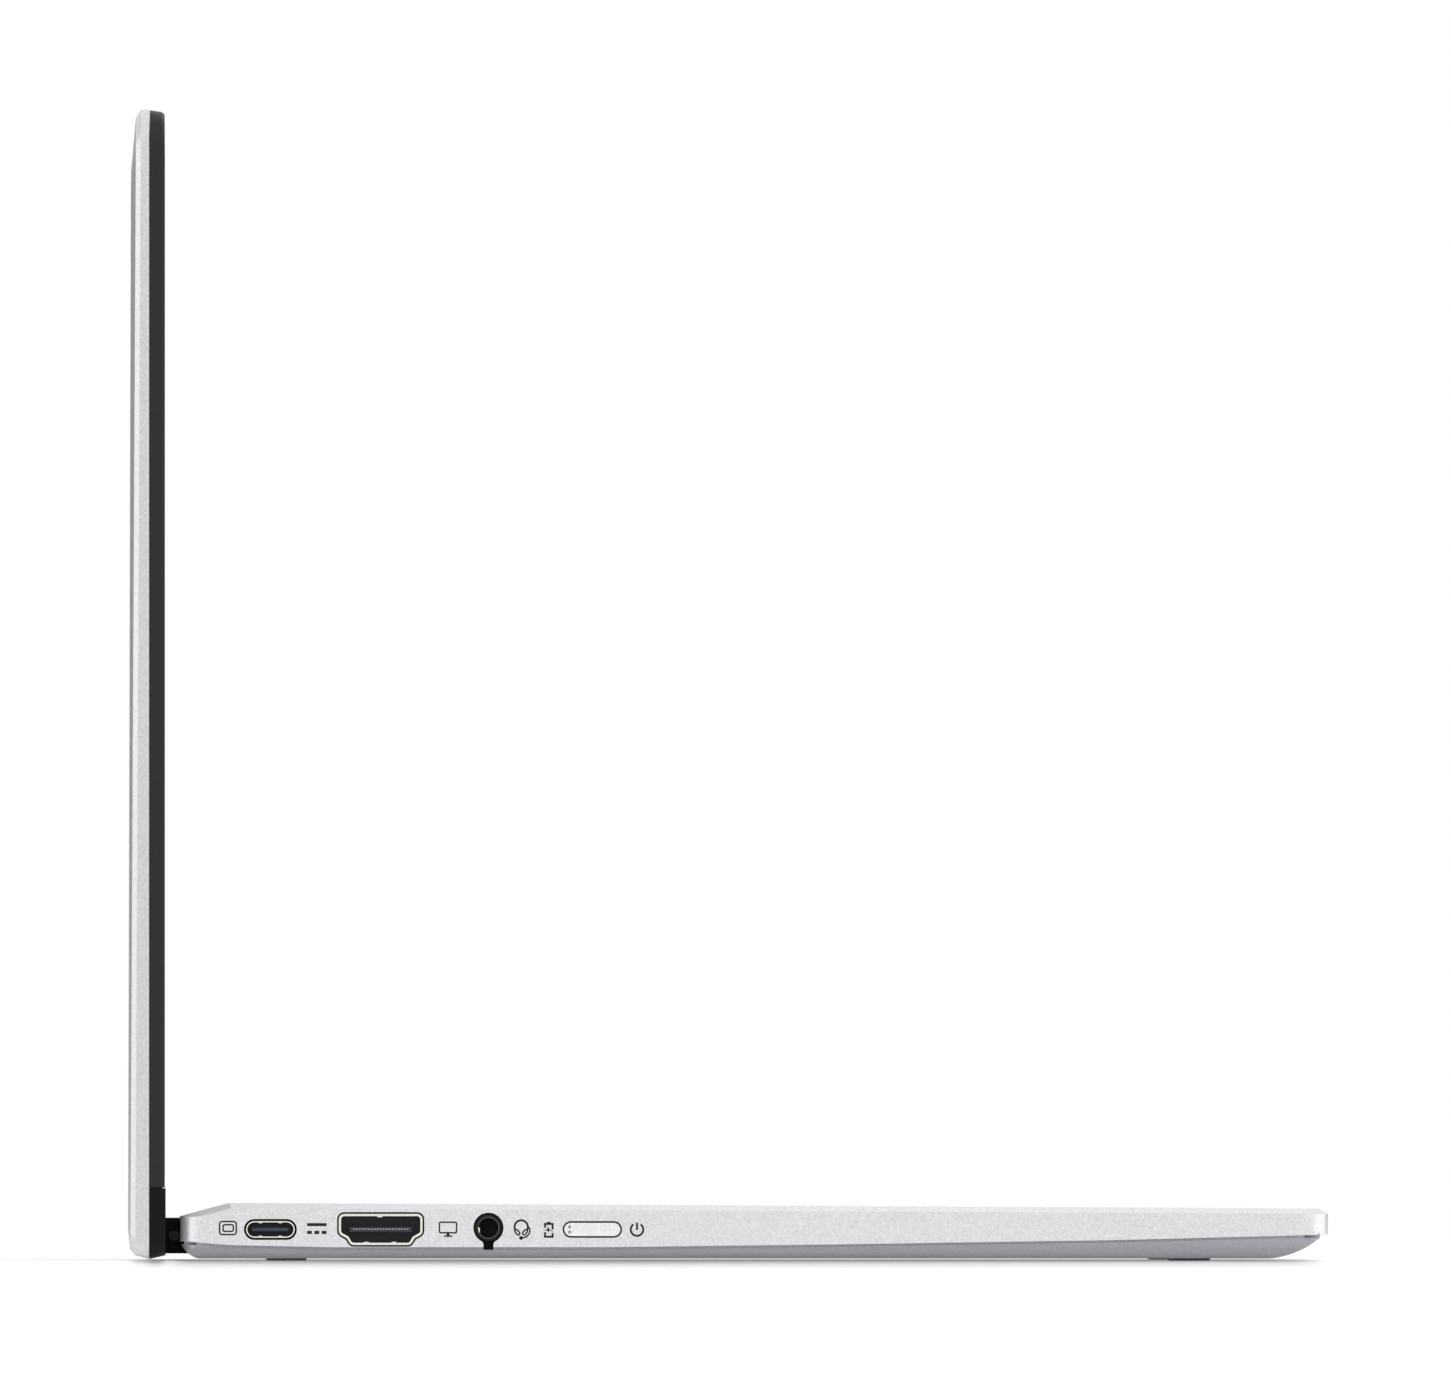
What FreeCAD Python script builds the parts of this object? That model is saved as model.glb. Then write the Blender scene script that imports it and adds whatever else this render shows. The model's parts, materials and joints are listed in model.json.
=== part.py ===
import FreeCAD, Part
import math
import os

# A convertible laptop computer, open at a right angle and standing on its feet.
# Millimetres. +Z is up, the user sits at -Y, the seen side with the sockets is at -X.
# The origin is the middle of the footprint of the open machine, on the table.

Vector = FreeCAD.Vector
Rotation = FreeCAD.Rotation
Placement = FreeCAD.Placement

# Overall sizes of the two halves
body_width = 310.0
base_depth = 207.3
lid_height = 207.6
lid_thickness = 6.75
rear_gap = 2.65

# Base side profile, heights above the underside of the bottom cover
foot_height = 0.4
crest_height = 10.0
front_height = 9.0
rear_height = 7.6
crest_inset = 9.0
edge_bevel_width = 1.5
edge_bevel_height = 0.95
front_lip_height = 4.1
front_lip_round = 0.4
rear_corner_radius = 4.5
front_corner_radius = 6.0
finger_notch_length = 60.0
finger_notch_depth = 0.9
finger_notch_radius = 6.0

# Parting line between the covers: distance from the rear end, height above the underside
seam_rear_height = 2.95
seam_crest_height = 2.2
seam_low_height = 1.83
seam_low_start = 27.0
seam_low_end = 76.0
seam_knee = 119.0
seam_knee_height = 2.34
seam_bend = 169.0
seam_bend_height = 3.12
seam_gap = 0.4

# Bottom cover shape
scoop_length = 10.5
scoop_end_inset = 1.4
scoop_bow = 0.78
tail_length = 5.4
tail_bow = 1.1
side_curl = 5.0
lower_inset = 0.15
floor_wall = 1.0

# Wall sizes of the top cover
side_wall = 1.6
deck_wall = 1.2

# Lid shape
lid_clearance_floor = 0.3
bezel_depth = 2.7
bezel_draft = 0.6
bezel_step = 0.1
chin_proud = 0.15
chin_height = 12.8
chin_gap = 0.15
lid_corner_radius = 6.0
lid_foot_radius = 3.0
lid_side_draft = 0.15
lid_seam_gap = 0.1
lid_wall = 1.0
lid_rim_wall = 1.35
lid_taper = 0.5
lid_side_wall = 2.6
lid_bevel = 0.9
lid_bevel_inset = 1.0
lid_top_bevel = 1.4
lid_crown_inset = 5.0
lid_crown_top = 11.0
lid_tail_drop = 0.68
lid_tail_bevel = 1.65

# Display stack
glass_margin = 1.8
glass_clearance = 0.1
glass_recess = 0.05
glass_thickness = 0.9
glass_radius = 4.0
panel_side_margin = 5.25
panel_top_margin = 8.95
panel_thickness = 2.2
panel_gap = 0.05
panel_clearance = 0.3
panel_bottom_margin = 3.5
camera_from_top = 7.0
camera_width = 24.0
camera_height = 5.0
camera_thickness = 1.6
lens_radius = 1.6

# Two-axis hinge
axis_height = 4.1
base_axis_inset = 3.5
hinge_spacing = 9.1
link_radius = 3.2
link_width = 36.0
link_from_side = 45.0
link_clearance = 0.3
link_side_clearance = 0.5
pin_radius = 1.2
pin_clearance = 0.05
pin_end_gap = 1.0
pin_hole_clearance = 0.3
ear_width = 7.5
ear_gap = 0.7
ear_radius = 1.8
leaf_width = 4.8
leaf_thickness = 1.0
base_leaf_length = 34.0
lid_leaf_length = 34.0
link_screw_radius = 0.95
link_screw_depth = 2.4
link_end_wall = 3.0
notch_wall = 1.2

# Keyboard
keyboard_side_margin = 15.5
key_columns = 15
key_pitch_y = 18.4
key_gap_x = 3.0
key_gap_y = 3.2
function_key_share = 0.56
key_corner_radius = 1.6
key_height = 1.6
key_sink = 0.3
key_travel = 1.2
key_floor_gap = 0.1
key_clearance = 0.35
key_top_draft = 0.45
recess_depth = 1.2
recess_margin = 2.6
recess_radius = 3.0
web_thickness = 0.8
web_margin = 1.5
plate_thickness = 0.5
plate_rim = 1.5
plate_clearance = 0.3
dome_radius = 2.4
keyboard_rear_inset = 15.5
arrow_gap = 1.2

# Touchpad
pad_width = 105.0
pad_thickness = 0.8
pad_sink = 0.15
pad_clearance = 0.3
pad_radius = 2.0
pad_from_front = 16.4
pad_from_keyboard = 11.1
pad_pivot_radius = 0.5
pad_pivot_drop = 0.4
pad_pivot_clearance = 0.05
pad_frame_thickness = 0.7
pad_frame_margin = 5.0
pad_switch_size = 6.0

# Sockets and button on the left side, distance from the rear end and height above the underside
usb_c_from_rear = 16.3
port_height = 5.25
usb_c_opening_width = 8.34
usb_c_opening_height = 2.56
usb_c_shell_wall = 0.35
usb_c_slot_clearance = 0.25
usb_c_tongue_width = 6.69
usb_c_tongue_thickness = 0.7
usb_c_length = 7.8
video_socket_from_rear = 36.2
video_socket_opening_width = 14.3
video_socket_opening_height = 4.8
video_socket_side_height = 2.95
video_socket_shoulder_height = 0.75
video_socket_ankle_width = 11.6
video_socket_foot_width = 10.3
video_socket_corner_round = 0.6
video_socket_shell_wall = 0.42
video_socket_slot_clearance = 0.3
video_socket_tongue_width = 11.4
video_socket_tongue_thickness = 0.9
video_socket_length = 10.2
jack_from_rear = 55.65
jack_height = 5.55
jack_bore_radius = 1.775
jack_ring_radius = 2.4
jack_slot_clearance = 0.32
jack_length = 11.5
jack_key_width = 1.8
jack_key_bottom = 1.6
jack_slot_round = 0.8
jack_contact_width = 0.8
button_from_rear = 74.4
button_length = 10.1
button_height = 2.4
button_clearance = 0.3
button_proud = 0.1
button_travel = 0.4
button_stem_length = 1.6
button_stem_radius = 0.8
button_flange = 0.6
button_flange_gap = 0.1
button_flange_thickness = 0.6
light_from_end = 0.95
switch_gap = 0.2
switch_depth = 0.9
switch_board_height = 3.4
light_radius = 0.28
light_spacing = 0.9
socket_wall_recess = 0.35
socket_back_wall = 0.6
socket_board_gap = 0.1
tongue_recess = 0.9
jack_body_wall = 0.6
jack_contact_thickness = 0.3

# Sockets and rocker on the right side
right_usb_a_from_rear = 40.0
usb_a_opening_width = 12.5
usb_a_opening_height = 5.12
usb_a_shell_wall = 0.35
usb_a_length = 12.0
usb_a_tongue_width = 11.1
usb_a_tongue_thickness = 1.84
usb_a_tongue_drop = 0.72
usb_a_slot_clearance = 0.25
rocker_from_rear = 68.0
rocker_length = 20.0
rocker_height = 2.4
rocker_thickness = 1.6
rocker_pivot_radius = 0.8
rocker_neck = 2.6
rocker_swing = 0.35
lock_from_rear = 25.6
lock_width = 6.0
lock_height = 2.5

# Boards, battery and other inner pieces
board_thickness = 0.8
mainboard_width = 170.0
mainboard_depth = 77.0
board_gap = 1.0
board_rest_inset = 6.0
chip_height = 1.0
spreader_thickness = 0.8
io_board_width = 30.0
io_board_depth = 66.0
battery_from_side = 57.0
battery_depth = 58.0
battery_height = 4.4
tray_wall = 0.6
cell_count = 4
cell_gap = 0.8
speaker_width = 34.0
speaker_depth = 44.0
speaker_height = 4.2
speaker_rim = 3.0
speaker_from_front = 20.0
speaker_from_post = 8.0
speaker_gap = 1.5
post_radius = 2.2
post_front_gap = 1.0
post_from_wall = 5.0
post_from_front = 62.0
post_behind_button = 12.0
rear_post_x = 28.0
rear_post_behind_crest = 1.0
screw_radius = 0.9
screw_head_radius = 1.9
screw_head_height = 0.6
screw_length = 2.4
hinge_screw_length = 1.6
lid_screw_length = 0.9
cable_width = 12.0
cable_thickness = 0.2
cable_seat_gap = 0.05
foot_pocket = 0.3
rear_foot_from_side = 42.0
front_foot_length = 46.0
foot_width = 7.0
foot_from_end = 14.0
grille_slot_length = 9.0
grille_slot_width = 1.1
grille_slot_count = 10
grille_slot_pitch = 3.0

# Places on the mainboard: from its left edge, from its front edge, width, depth
chip_places = [(64.0, 28.0, 24.0, 18.0), (93.0, 40.0, 10.0, 13.0), (93.0, 24.0, 10.0, 13.0),
               (34.0, 10.0, 12.0, 14.0), (30.0, 52.0, 8.0, 8.0), (140.0, 14.0, 14.0, 10.0)]
spreader_place = (58.0, 20.0, 50.0, 36.0)
radio_card_place = (118.0, 38.0, 22.0, 30.0)
radio_shield_place = (121.0, 44.0, 16.0, 18.0)

# Places that follow from the sizes above
half_width = body_width / 2
open_depth = base_depth + rear_gap + lid_thickness
front_y = -open_depth / 2
rear_y = front_y + base_depth
chin_y = rear_y + rear_gap
back_y = open_depth / 2
under_z = foot_height
crest_y = rear_y - crest_inset
crest_z = under_z + crest_height
front_top_y = front_y + edge_bevel_width
deck_slope = math.atan2(crest_height - front_height, crest_y - front_top_y)
deck_z = crest_z - crest_y * math.tan(deck_slope)
axis_z = under_z + axis_height
base_axis_y = rear_y - base_axis_inset
lid_axis_y = base_axis_y + hinge_spacing
link_x = half_width - link_from_side
lid_bottom_z = lid_clearance_floor
lid_top_z = lid_bottom_z + lid_height
lid_seam_y = chin_y + chin_proud + bezel_depth
bezel_y = chin_y + chin_proud
chin_top_z = lid_bottom_z + chin_height
bezel_bottom_z = chin_top_z + chin_gap
deck_frame = Placement(Vector(0, 0, deck_z), Rotation(Vector(1, 0, 0), math.degrees(deck_slope)))


# Basic shapes

def box(x0, x1, y0, y1, z0, z1):
    return Part.makeBox(x1 - x0, y1 - y0, z1 - z0, Vector(x0, y0, z0))


def rod(radius, length, start, direction):
    return Part.makeCylinder(radius, length, Vector(*start), Vector(*direction))


def arc_edge(centre, radius, start_angle, end_angle, to_point):
    """An arc through three points; to_point turns two plane coordinates into a 3-D point."""
    ends = []
    for angle in (start_angle, (start_angle + end_angle) / 2, end_angle):
        turn = math.radians(angle)
        ends.append(to_point(centre[0] + radius * math.cos(turn), centre[1] + radius * math.sin(turn)))
    return Part.Arc(*ends).toShape()


def rounded_outline(low, high, radii, to_point):
    """A rectangle with four corner radii, from the low-low corner counter-clockwise."""
    corners = [(low[0], low[1]), (high[0], low[1]), (high[0], high[1]), (low[0], high[1])]
    inward = [(1, 1), (-1, 1), (-1, -1), (1, -1)]
    edges = []
    for index, (corner, way, radius) in enumerate(zip(corners, inward, radii)):
        centre = (corner[0] + way[0] * radius, corner[1] + way[1] * radius)
        first = 180 + 90 * index
        edges.append(arc_edge(centre, radius, first, first + 90, to_point))
    ring = []
    for index, edge in enumerate(edges):
        following = edges[(index + 1) % 4]
        ring.append(edge)
        ring.append(Part.LineSegment(edge.Vertexes[-1].Point, following.Vertexes[0].Point).toShape())
    return Part.Wire(ring)


def plan_outline(x0, x1, y0, y1, front_radius, back_radius, z):
    radii = (front_radius, front_radius, back_radius, back_radius)
    return rounded_outline((x0, y0), (x1, y1), radii, lambda x, y: Vector(x, y, z))


def rounded_block(x0, x1, y0, y1, z0, z1, radius):
    """A block with its upright edges rounded."""
    outline = plan_outline(x0, x1, y0, y1, radius, radius, z0)
    return Part.Face(outline).extrude(Vector(0, 0, z1 - z0))


def side_block(y, z, width, height, radius, x0, x1):
    """A block along X with the edges along X rounded, centred at y and z."""
    low = (y - width / 2, z - height / 2)
    high = (y + width / 2, z + height / 2)
    outline = rounded_outline(low, high, (radius,) * 4, lambda a, b: Vector(x0, a, b))
    return Part.Face(outline).extrude(Vector(x1 - x0, 0, 0))


def side_extrusion(edges_points, x0, x1):
    """Extrude along X a closed side outline of (y, z) points; a triple (y, z, bow) bows the run to it."""
    edges = []
    count = len(edges_points)
    for index in range(count):
        here = edges_points[index]
        there = edges_points[(index + 1) % count]
        start = Vector(x0, here[0], here[1])
        end = Vector(x0, there[0], there[1])
        if len(there) == 3:
            run = end - start
            normal = Vector(0, -run.z, run.y)
            normal.normalize()
            edges.append(Part.Arc(start, (start + end) * 0.5 + normal * there[2], end).toShape())
        else:
            edges.append(Part.LineSegment(start, end).toShape())
    return Part.Face(Part.Wire(edges)).extrude(Vector(x1 - x0, 0, 0))


def joined(shapes):
    """One solid from several that touch or overlap."""
    whole = shapes[0]
    for shape in shapes[1:]:
        whole = whole.fuse(shape)
    return whole.removeSplitter()


def mirrored(shape):
    return shape.mirror(Vector(0, 0, 0), Vector(1, 0, 0))


def on_deck(shape):
    """Place a shape drawn in the deck's own frame: z = 0 is the deck's surface."""
    placed = shape.copy()
    placed.Placement = deck_frame.multiply(placed.Placement)
    return placed


nodes = {}


def keep(name, shapes):
    """Store the solids of one node."""
    solids = []
    for shape in shapes:
        solids.extend(shape.Solids)
    nodes[name] = Part.makeCompound(solids) if len(solids) > 1 else solids[0]


# Side lines of the base

def seam_points(shift):
    """The parting line from the rear end to the front lip, raised by shift."""
    return [
        (rear_y, under_z + seam_rear_height + shift),
        (crest_y, under_z + seam_crest_height + shift),
        (rear_y - seam_low_start, under_z + seam_low_height + shift),
        (rear_y - seam_low_end, under_z + seam_low_height + shift),
        (rear_y - seam_knee, under_z + seam_knee_height + shift),
        (rear_y - seam_bend, under_z + seam_bend_height + shift),
        (front_y + front_lip_round, under_z + front_lip_height + shift),
    ]


def deck_height(y):
    """Height of the deck's surface over a point of the table."""
    return deck_z + y * math.tan(deck_slope)


def ramp_height(y):
    """Height of the sloping rear edge of the deck."""
    share = (rear_y - y) / crest_inset
    return under_z + rear_height + share * (crest_height - rear_height)


def bevelled_prism(plane):
    """The plan outline as a tall prism that narrows by the edge bevel at the given plane."""
    levels = [(-base_depth, 0.0), (-edge_bevel_height, 0.0), (0.0, edge_bevel_width)]
    wires = []
    for level, inset in levels:
        wires.append(plan_outline(
            inset - half_width, half_width - inset, front_y + inset, rear_y + edge_bevel_width,
            front_corner_radius - inset, rear_corner_radius, level))
    prism = Part.makeLoft(wires, True, True)
    prism.Placement = plane
    return prism


def base_plan(inset, z0, z1):
    """The plan outline of the base, drawn in by inset, as a prism."""
    outline = plan_outline(
        inset - half_width, half_width - inset, front_y + inset, rear_y - inset,
        front_corner_radius - inset, rear_corner_radius - inset, z0)
    return Part.Face(outline).extrude(Vector(0, 0, z1 - z0))


def hinge_notch(grow):
    """Both rear notches for the links, grown by a wall on their inner sides."""
    reach = link_width / 2 + link_side_clearance + grow
    start = base_axis_y - link_radius - link_clearance - grow
    shapes = []
    for side in (-1, 1):
        middle = side * link_x
        shapes.append(box(middle - reach, middle + reach, start, rear_y + grow + 1, -1, 2 * crest_height))
    return Part.makeCompound(shapes)


def pin_holes(axis_y):
    """Clearance holes for the hinge pins, from the brackets into the notches."""
    shapes = []
    for side in (-1, 1):
        start = (side * ear_inner_x, axis_y, axis_z)
        shapes.append(rod(pin_radius + pin_hole_clearance, link_x - ear_inner_x, start, (side, 0, 0)))
    return Part.makeCompound(shapes)


# Keyboard layout: each row is a list of key widths in key pitches

key_rows = {
    "keys_function_row": [1.0] * 15,
    "keys_number_row": [1.0] * 13 + [2.0],
    "keys_top_letter_row": [1.5] + [1.0] * 12 + [1.5],
    "keys_home_row": [1.75] + [1.0] * 11 + [2.25],
    "keys_bottom_letter_row": [2.25] + [1.0] * 10 + [2.75],
    "keys_space_row": [1.25, 1.0, 1.0, 1.25, 5.5] + [1.0] * 5,
}
stacked_key = 8
keyboard_width = body_width - 2 * keyboard_side_margin
key_pitch_x = keyboard_width / key_columns
keyboard_rear_y = rear_y - keyboard_rear_inset
keyboard_depth = (len(key_rows) - 1 + function_key_share) * key_pitch_y
keyboard_front_y = keyboard_rear_y - keyboard_depth
recess_half = keyboard_width / 2 - key_gap_x / 2 + recess_margin
recess_front = keyboard_front_y + key_gap_y / 2 - recess_margin
recess_rear = keyboard_rear_y - key_gap_y / 2 + recess_margin
web_bottom = -recess_depth - web_thickness
key_bottom = -key_sink - key_height
plate_top = key_bottom - key_travel - key_floor_gap
plate_half = recess_half + web_margin - plate_clearance
plate_front = recess_front - web_margin + plate_clearance
plate_rear = recess_rear + web_margin - plate_clearance


def key_places(row_name):
    """The outline (x0, x1, y0, y1) of each keycap of a row, in the deck's frame."""
    names = list(key_rows)
    index = names.index(row_name)
    if index == 0:
        top = keyboard_rear_y
        depth = key_pitch_y * function_key_share
    else:
        top = keyboard_rear_y - (function_key_share + index - 1) * key_pitch_y
        depth = key_pitch_y
    places = []
    x = -keyboard_width / 2
    for number, units in enumerate(key_rows[row_name]):
        x0 = x + key_gap_x / 2
        x1 = x + units * key_pitch_x - key_gap_x / 2
        y0 = top - depth + key_gap_y / 2
        y1 = top - key_gap_y / 2
        if row_name == "keys_space_row" and number == stacked_key:
            middle = (y0 + y1) / 2
            places.append((x0, x1, middle + arrow_gap / 2, y1))
            places.append((x0, x1, y0, middle - arrow_gap / 2))
        else:
            places.append((x0, x1, y0, y1))
        x += units * key_pitch_x
    return places


def keycap(place):
    """One keycap: a low block with sides that lean in towards its top."""
    x0, x1, y0, y1 = place
    foot = plan_outline(x0, x1, y0, y1, key_corner_radius, key_corner_radius, key_bottom)
    draft = key_top_draft
    head = plan_outline(x0 + draft, x1 - draft, y0 + draft, y1 - draft,
                        key_corner_radius - draft / 2, key_corner_radius - draft / 2, -key_sink)
    return on_deck(Part.makeLoft([foot, head], True, True))


def key_hole(place):
    """The opening in the web that a keycap moves in."""
    x0, x1, y0, y1 = place
    grow = key_clearance
    return rounded_block(x0 - grow, x1 + grow, y0 - grow, y1 + grow,
                         web_bottom - 1, 1, key_corner_radius + grow)


def key_holes():
    holes = []
    for row_name in key_rows:
        for place in key_places(row_name):
            holes.append(key_hole(place))
    return on_deck(Part.makeCompound(holes))


# Places of the touchpad and the side features

pad_y0 = front_y + pad_from_front
pad_y1 = keyboard_front_y - pad_from_keyboard
pad_depth = pad_y1 - pad_y0
port_z = under_z + port_height
usb_c_y = rear_y - usb_c_from_rear
video_socket_y = rear_y - video_socket_from_rear
jack_y = rear_y - jack_from_rear
jack_z = under_z + jack_height
button_y = rear_y - button_from_rear
usb_a_y = rear_y - right_usb_a_from_rear
rocker_y = rear_y - rocker_from_rear
lock_y = rear_y - lock_from_rear
usb_c_shell_height = usb_c_opening_height + 2 * usb_c_shell_wall
usb_c_shell_width = usb_c_opening_width + 2 * usb_c_shell_wall
board_top = port_z - usb_c_shell_height / 2
floor_z = under_z + floor_wall
ear_outer_x = link_x - link_width / 2 - link_side_clearance - notch_wall - ear_gap
ear_inner_x = ear_outer_x - ear_width
leaf_top_z = axis_z + ear_radius
base_leaf_drop = leaf_width / 2
base_leaf_screws = [ear_inner_x - base_leaf_length * share for share in (0.2, 0.8)]


def video_socket_outline(grow, x):
    """The stepped outline of the wide video socket with round corners, grown on all sides."""
    half = video_socket_opening_width / 2
    ankle = video_socket_ankle_width / 2
    foot = video_socket_foot_width / 2
    top = port_z + video_socket_opening_height / 2
    side_end = top - video_socket_side_height
    shoulder_end = side_end - video_socket_shoulder_height
    bottom = port_z - video_socket_opening_height / 2
    points = [(-half, top), (half, top), (half, side_end), (ankle, shoulder_end), (foot, bottom),
              (-foot, bottom), (-ankle, shoulder_end), (-half, side_end)]
    corners = [Vector(x, video_socket_y + y, z) for y, z in points]
    core = Part.makePolygon(corners + [corners[0]]).makeOffset2D(-video_socket_corner_round)
    return core.makeOffset2D(video_socket_corner_round + grow)


def video_socket_prism(grow, x0, x1):
    return Part.Face(video_socket_outline(grow, x0)).extrude(Vector(x1 - x0, 0, 0))


def jack_opening(x0, x1):
    """The round opening of the jack with its slot down to the parting line, their corners rounded."""
    ring = rod(jack_ring_radius + jack_slot_clearance, x1 - x0, (x0, jack_y, jack_z), (1, 0, 0))
    slot = box(x0, x1, jack_y - jack_key_width / 2, jack_y + jack_key_width / 2, 0, jack_z)
    opening = ring.fuse(slot).removeSplitter()
    corners = []
    for edge in opening.Edges:
        along_wall = abs(edge.BoundBox.XLength - abs(x1 - x0)) < 0.001
        if along_wall and jack_z - jack_ring_radius - 1 < edge.CenterOfMass.z < jack_z - 1:
            corners.append(edge)
    return opening.makeFillet(jack_slot_round, corners)


def left_cutouts():
    """Openings of the sockets and the button in the left wall."""
    outside = -half_width - 1
    inside = -half_width + side_wall + 1
    usb_grow = usb_c_shell_wall + usb_c_slot_clearance
    usb = side_block(usb_c_y, port_z, usb_c_opening_width + 2 * usb_grow,
                     usb_c_opening_height + 2 * usb_grow,
                     usb_c_opening_height / 2 + usb_grow - 0.01, outside, inside)
    video_socket = video_socket_prism(video_socket_shell_wall + video_socket_slot_clearance, outside, inside)
    jack = jack_opening(outside, inside)
    button = side_block(button_y, port_z, button_length + 2 * button_clearance,
                        button_height + 2 * button_clearance,
                        button_height / 2 + button_clearance - 0.01, outside, inside)
    return Part.makeCompound([usb, video_socket, jack, button])


def right_cutouts():
    """Openings of the sockets, the rocker and the lock slot in the right wall."""
    outside = half_width + 1
    inside = half_width - side_wall - 1
    usb_grow = usb_c_shell_wall + usb_c_slot_clearance
    usb_c = side_block(usb_c_y, port_z, usb_c_opening_width + 2 * usb_grow,
                       usb_c_opening_height + 2 * usb_grow,
                       usb_c_opening_height / 2 + usb_grow - 0.01, inside, outside)
    a_grow = usb_a_shell_wall + usb_a_slot_clearance
    usb_a = side_block(usb_a_y, port_z, usb_a_opening_width + 2 * a_grow,
                       usb_a_opening_height + 2 * a_grow, a_grow, inside, outside)
    rocker = side_block(rocker_y, port_z, rocker_length + 2 * button_clearance,
                        rocker_height + 2 * button_clearance,
                        rocker_height / 2 + button_clearance - 0.01, inside, outside)
    lock = side_block(lock_y, port_z, lock_width, lock_height, lock_height / 4, inside, outside)
    return Part.makeCompound([usb_c, usb_a, rocker, lock])


# Screw posts between the covers: (x, y) on one side, repeated on the other
post_side_x = half_width - side_wall - post_radius - post_from_wall
post_places = [
    (post_side_x, front_y + scoop_length + post_from_wall),
    (post_side_x, front_y + post_from_front),
    (post_side_x, button_y - button_length / 2 - post_behind_button),
    (pad_width / 2 + pad_frame_margin + post_radius + post_front_gap,
     front_y + scoop_length + post_radius + post_front_gap),
    (rear_post_x, crest_y + rear_post_behind_crest),
]


def both_sides(places):
    """Each place and its mirror image."""
    return [(side * x, y) for x, y in places for side in (-1, 1)]


# Base covers

def top_cover_outer():
    top = [(rear_y, ramp_height(rear_y)), (crest_y, crest_z)]
    front_top = deck_height(front_top_y)
    front = [(front_top_y, front_top), (front_y, front_top - edge_bevel_height),
             (front_y, under_z + front_lip_height + front_lip_round)]
    profile = side_extrusion(
        list(reversed(seam_points(seam_gap / 2))) + top + front, -half_width, half_width)
    ramp_turn = math.atan2(rear_height - crest_height, crest_inset)
    ramp_frame = Placement(Vector(0, crest_y, crest_z), Rotation(Vector(1, 0, 0), math.degrees(ramp_turn)))
    ramp_frame = ramp_frame.multiply(Placement(Vector(0, -crest_y, 0), Rotation()))
    outer = profile.common(base_plan(0.0, 0.0, 2 * crest_height))
    outer = outer.common(bevelled_prism(deck_frame))
    return outer.common(bevelled_prism(ramp_frame))


def top_cover_cavity():
    rear_in = rear_y - side_wall
    front_in = front_y + side_wall
    points = [
        (rear_in, 0.0), (rear_in, ramp_height(rear_in) - deck_wall), (crest_y, crest_z - deck_wall),
        (front_in, deck_height(front_in) - deck_wall), (front_in, 0.0)]
    cavity = side_extrusion(points, side_wall - half_width, half_width - side_wall)
    cavity = cavity.common(base_plan(side_wall, 0.0, 2 * crest_height))
    web = on_deck(box(-recess_half - web_margin, recess_half + web_margin,
                      recess_front - web_margin, recess_rear + web_margin, web_bottom, 0))
    return cavity.cut([web, hinge_notch(notch_wall)])


def screw_post(x, y, z0, z1):
    return rod(post_radius, z1 - z0, (x, y, z0), (0, 0, 1))


def base_top_cover():
    outer = top_cover_outer()
    posts = [screw_post(x, y, floor_z, 2 * crest_height) for x, y in both_sides(post_places)]
    for side in (-1, 1):
        for x in base_leaf_screws:
            posts.append(screw_post(side * x, base_axis_y - base_leaf_drop, leaf_top_z, 2 * crest_height))
    room = top_cover_room()
    cover = outer.cut(top_cover_cavity())
    cover = cover.fuse([post.common(room) for post in posts])
    recess = on_deck(rounded_block(-recess_half, recess_half, recess_front, recess_rear,
                                   -recess_depth, 2, recess_radius))
    window = on_deck(rounded_block(
        -pad_width / 2 - pad_clearance, pad_width / 2 + pad_clearance,
        pad_y0 - pad_clearance, pad_y1 + pad_clearance, -4, 2, pad_radius + pad_clearance))
    cutters = [recess, window, key_holes(), hinge_notch(0.0), pin_holes(base_axis_y),
               left_cutouts(), right_cutouts()]
    cutters.extend(post_screw_holes())
    cutters.append(on_deck(finger_notch()))
    return cover.cut(cutters)


def top_cover_room():
    """The space between the floor of the bottom cover and the deck, where posts stand."""
    return base_plan(side_wall, floor_z, crest_z).common(side_extrusion(
        [(rear_y - side_wall, floor_z), (rear_y - side_wall, ramp_height(rear_y - side_wall)),
         (crest_y, crest_z), (front_y + side_wall, deck_height(front_y + side_wall)),
         (front_y + side_wall, floor_z)], side_wall - half_width, half_width - side_wall))


def finger_notch():
    """A shallow scoop in the front edge of the deck, where a finger lifts the lid."""
    axis_y = front_y - finger_notch_radius + finger_notch_depth
    return rod(finger_notch_radius, finger_notch_length, (-finger_notch_length / 2, axis_y, 0), (1, 0, 0))


def post_screw_holes():
    holes = []
    for x, y in both_sides(post_places):
        holes.append(rod(screw_radius, screw_length + 0.2, (x, y, floor_z), (0, 0, 1)))
    for side in (-1, 1):
        for x in base_leaf_screws:
            start = (side * x, base_axis_y - base_leaf_drop, leaf_top_z)
            holes.append(rod(screw_radius, hinge_screw_length + 0.2, start, (0, 0, 1)))
    return holes


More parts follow.
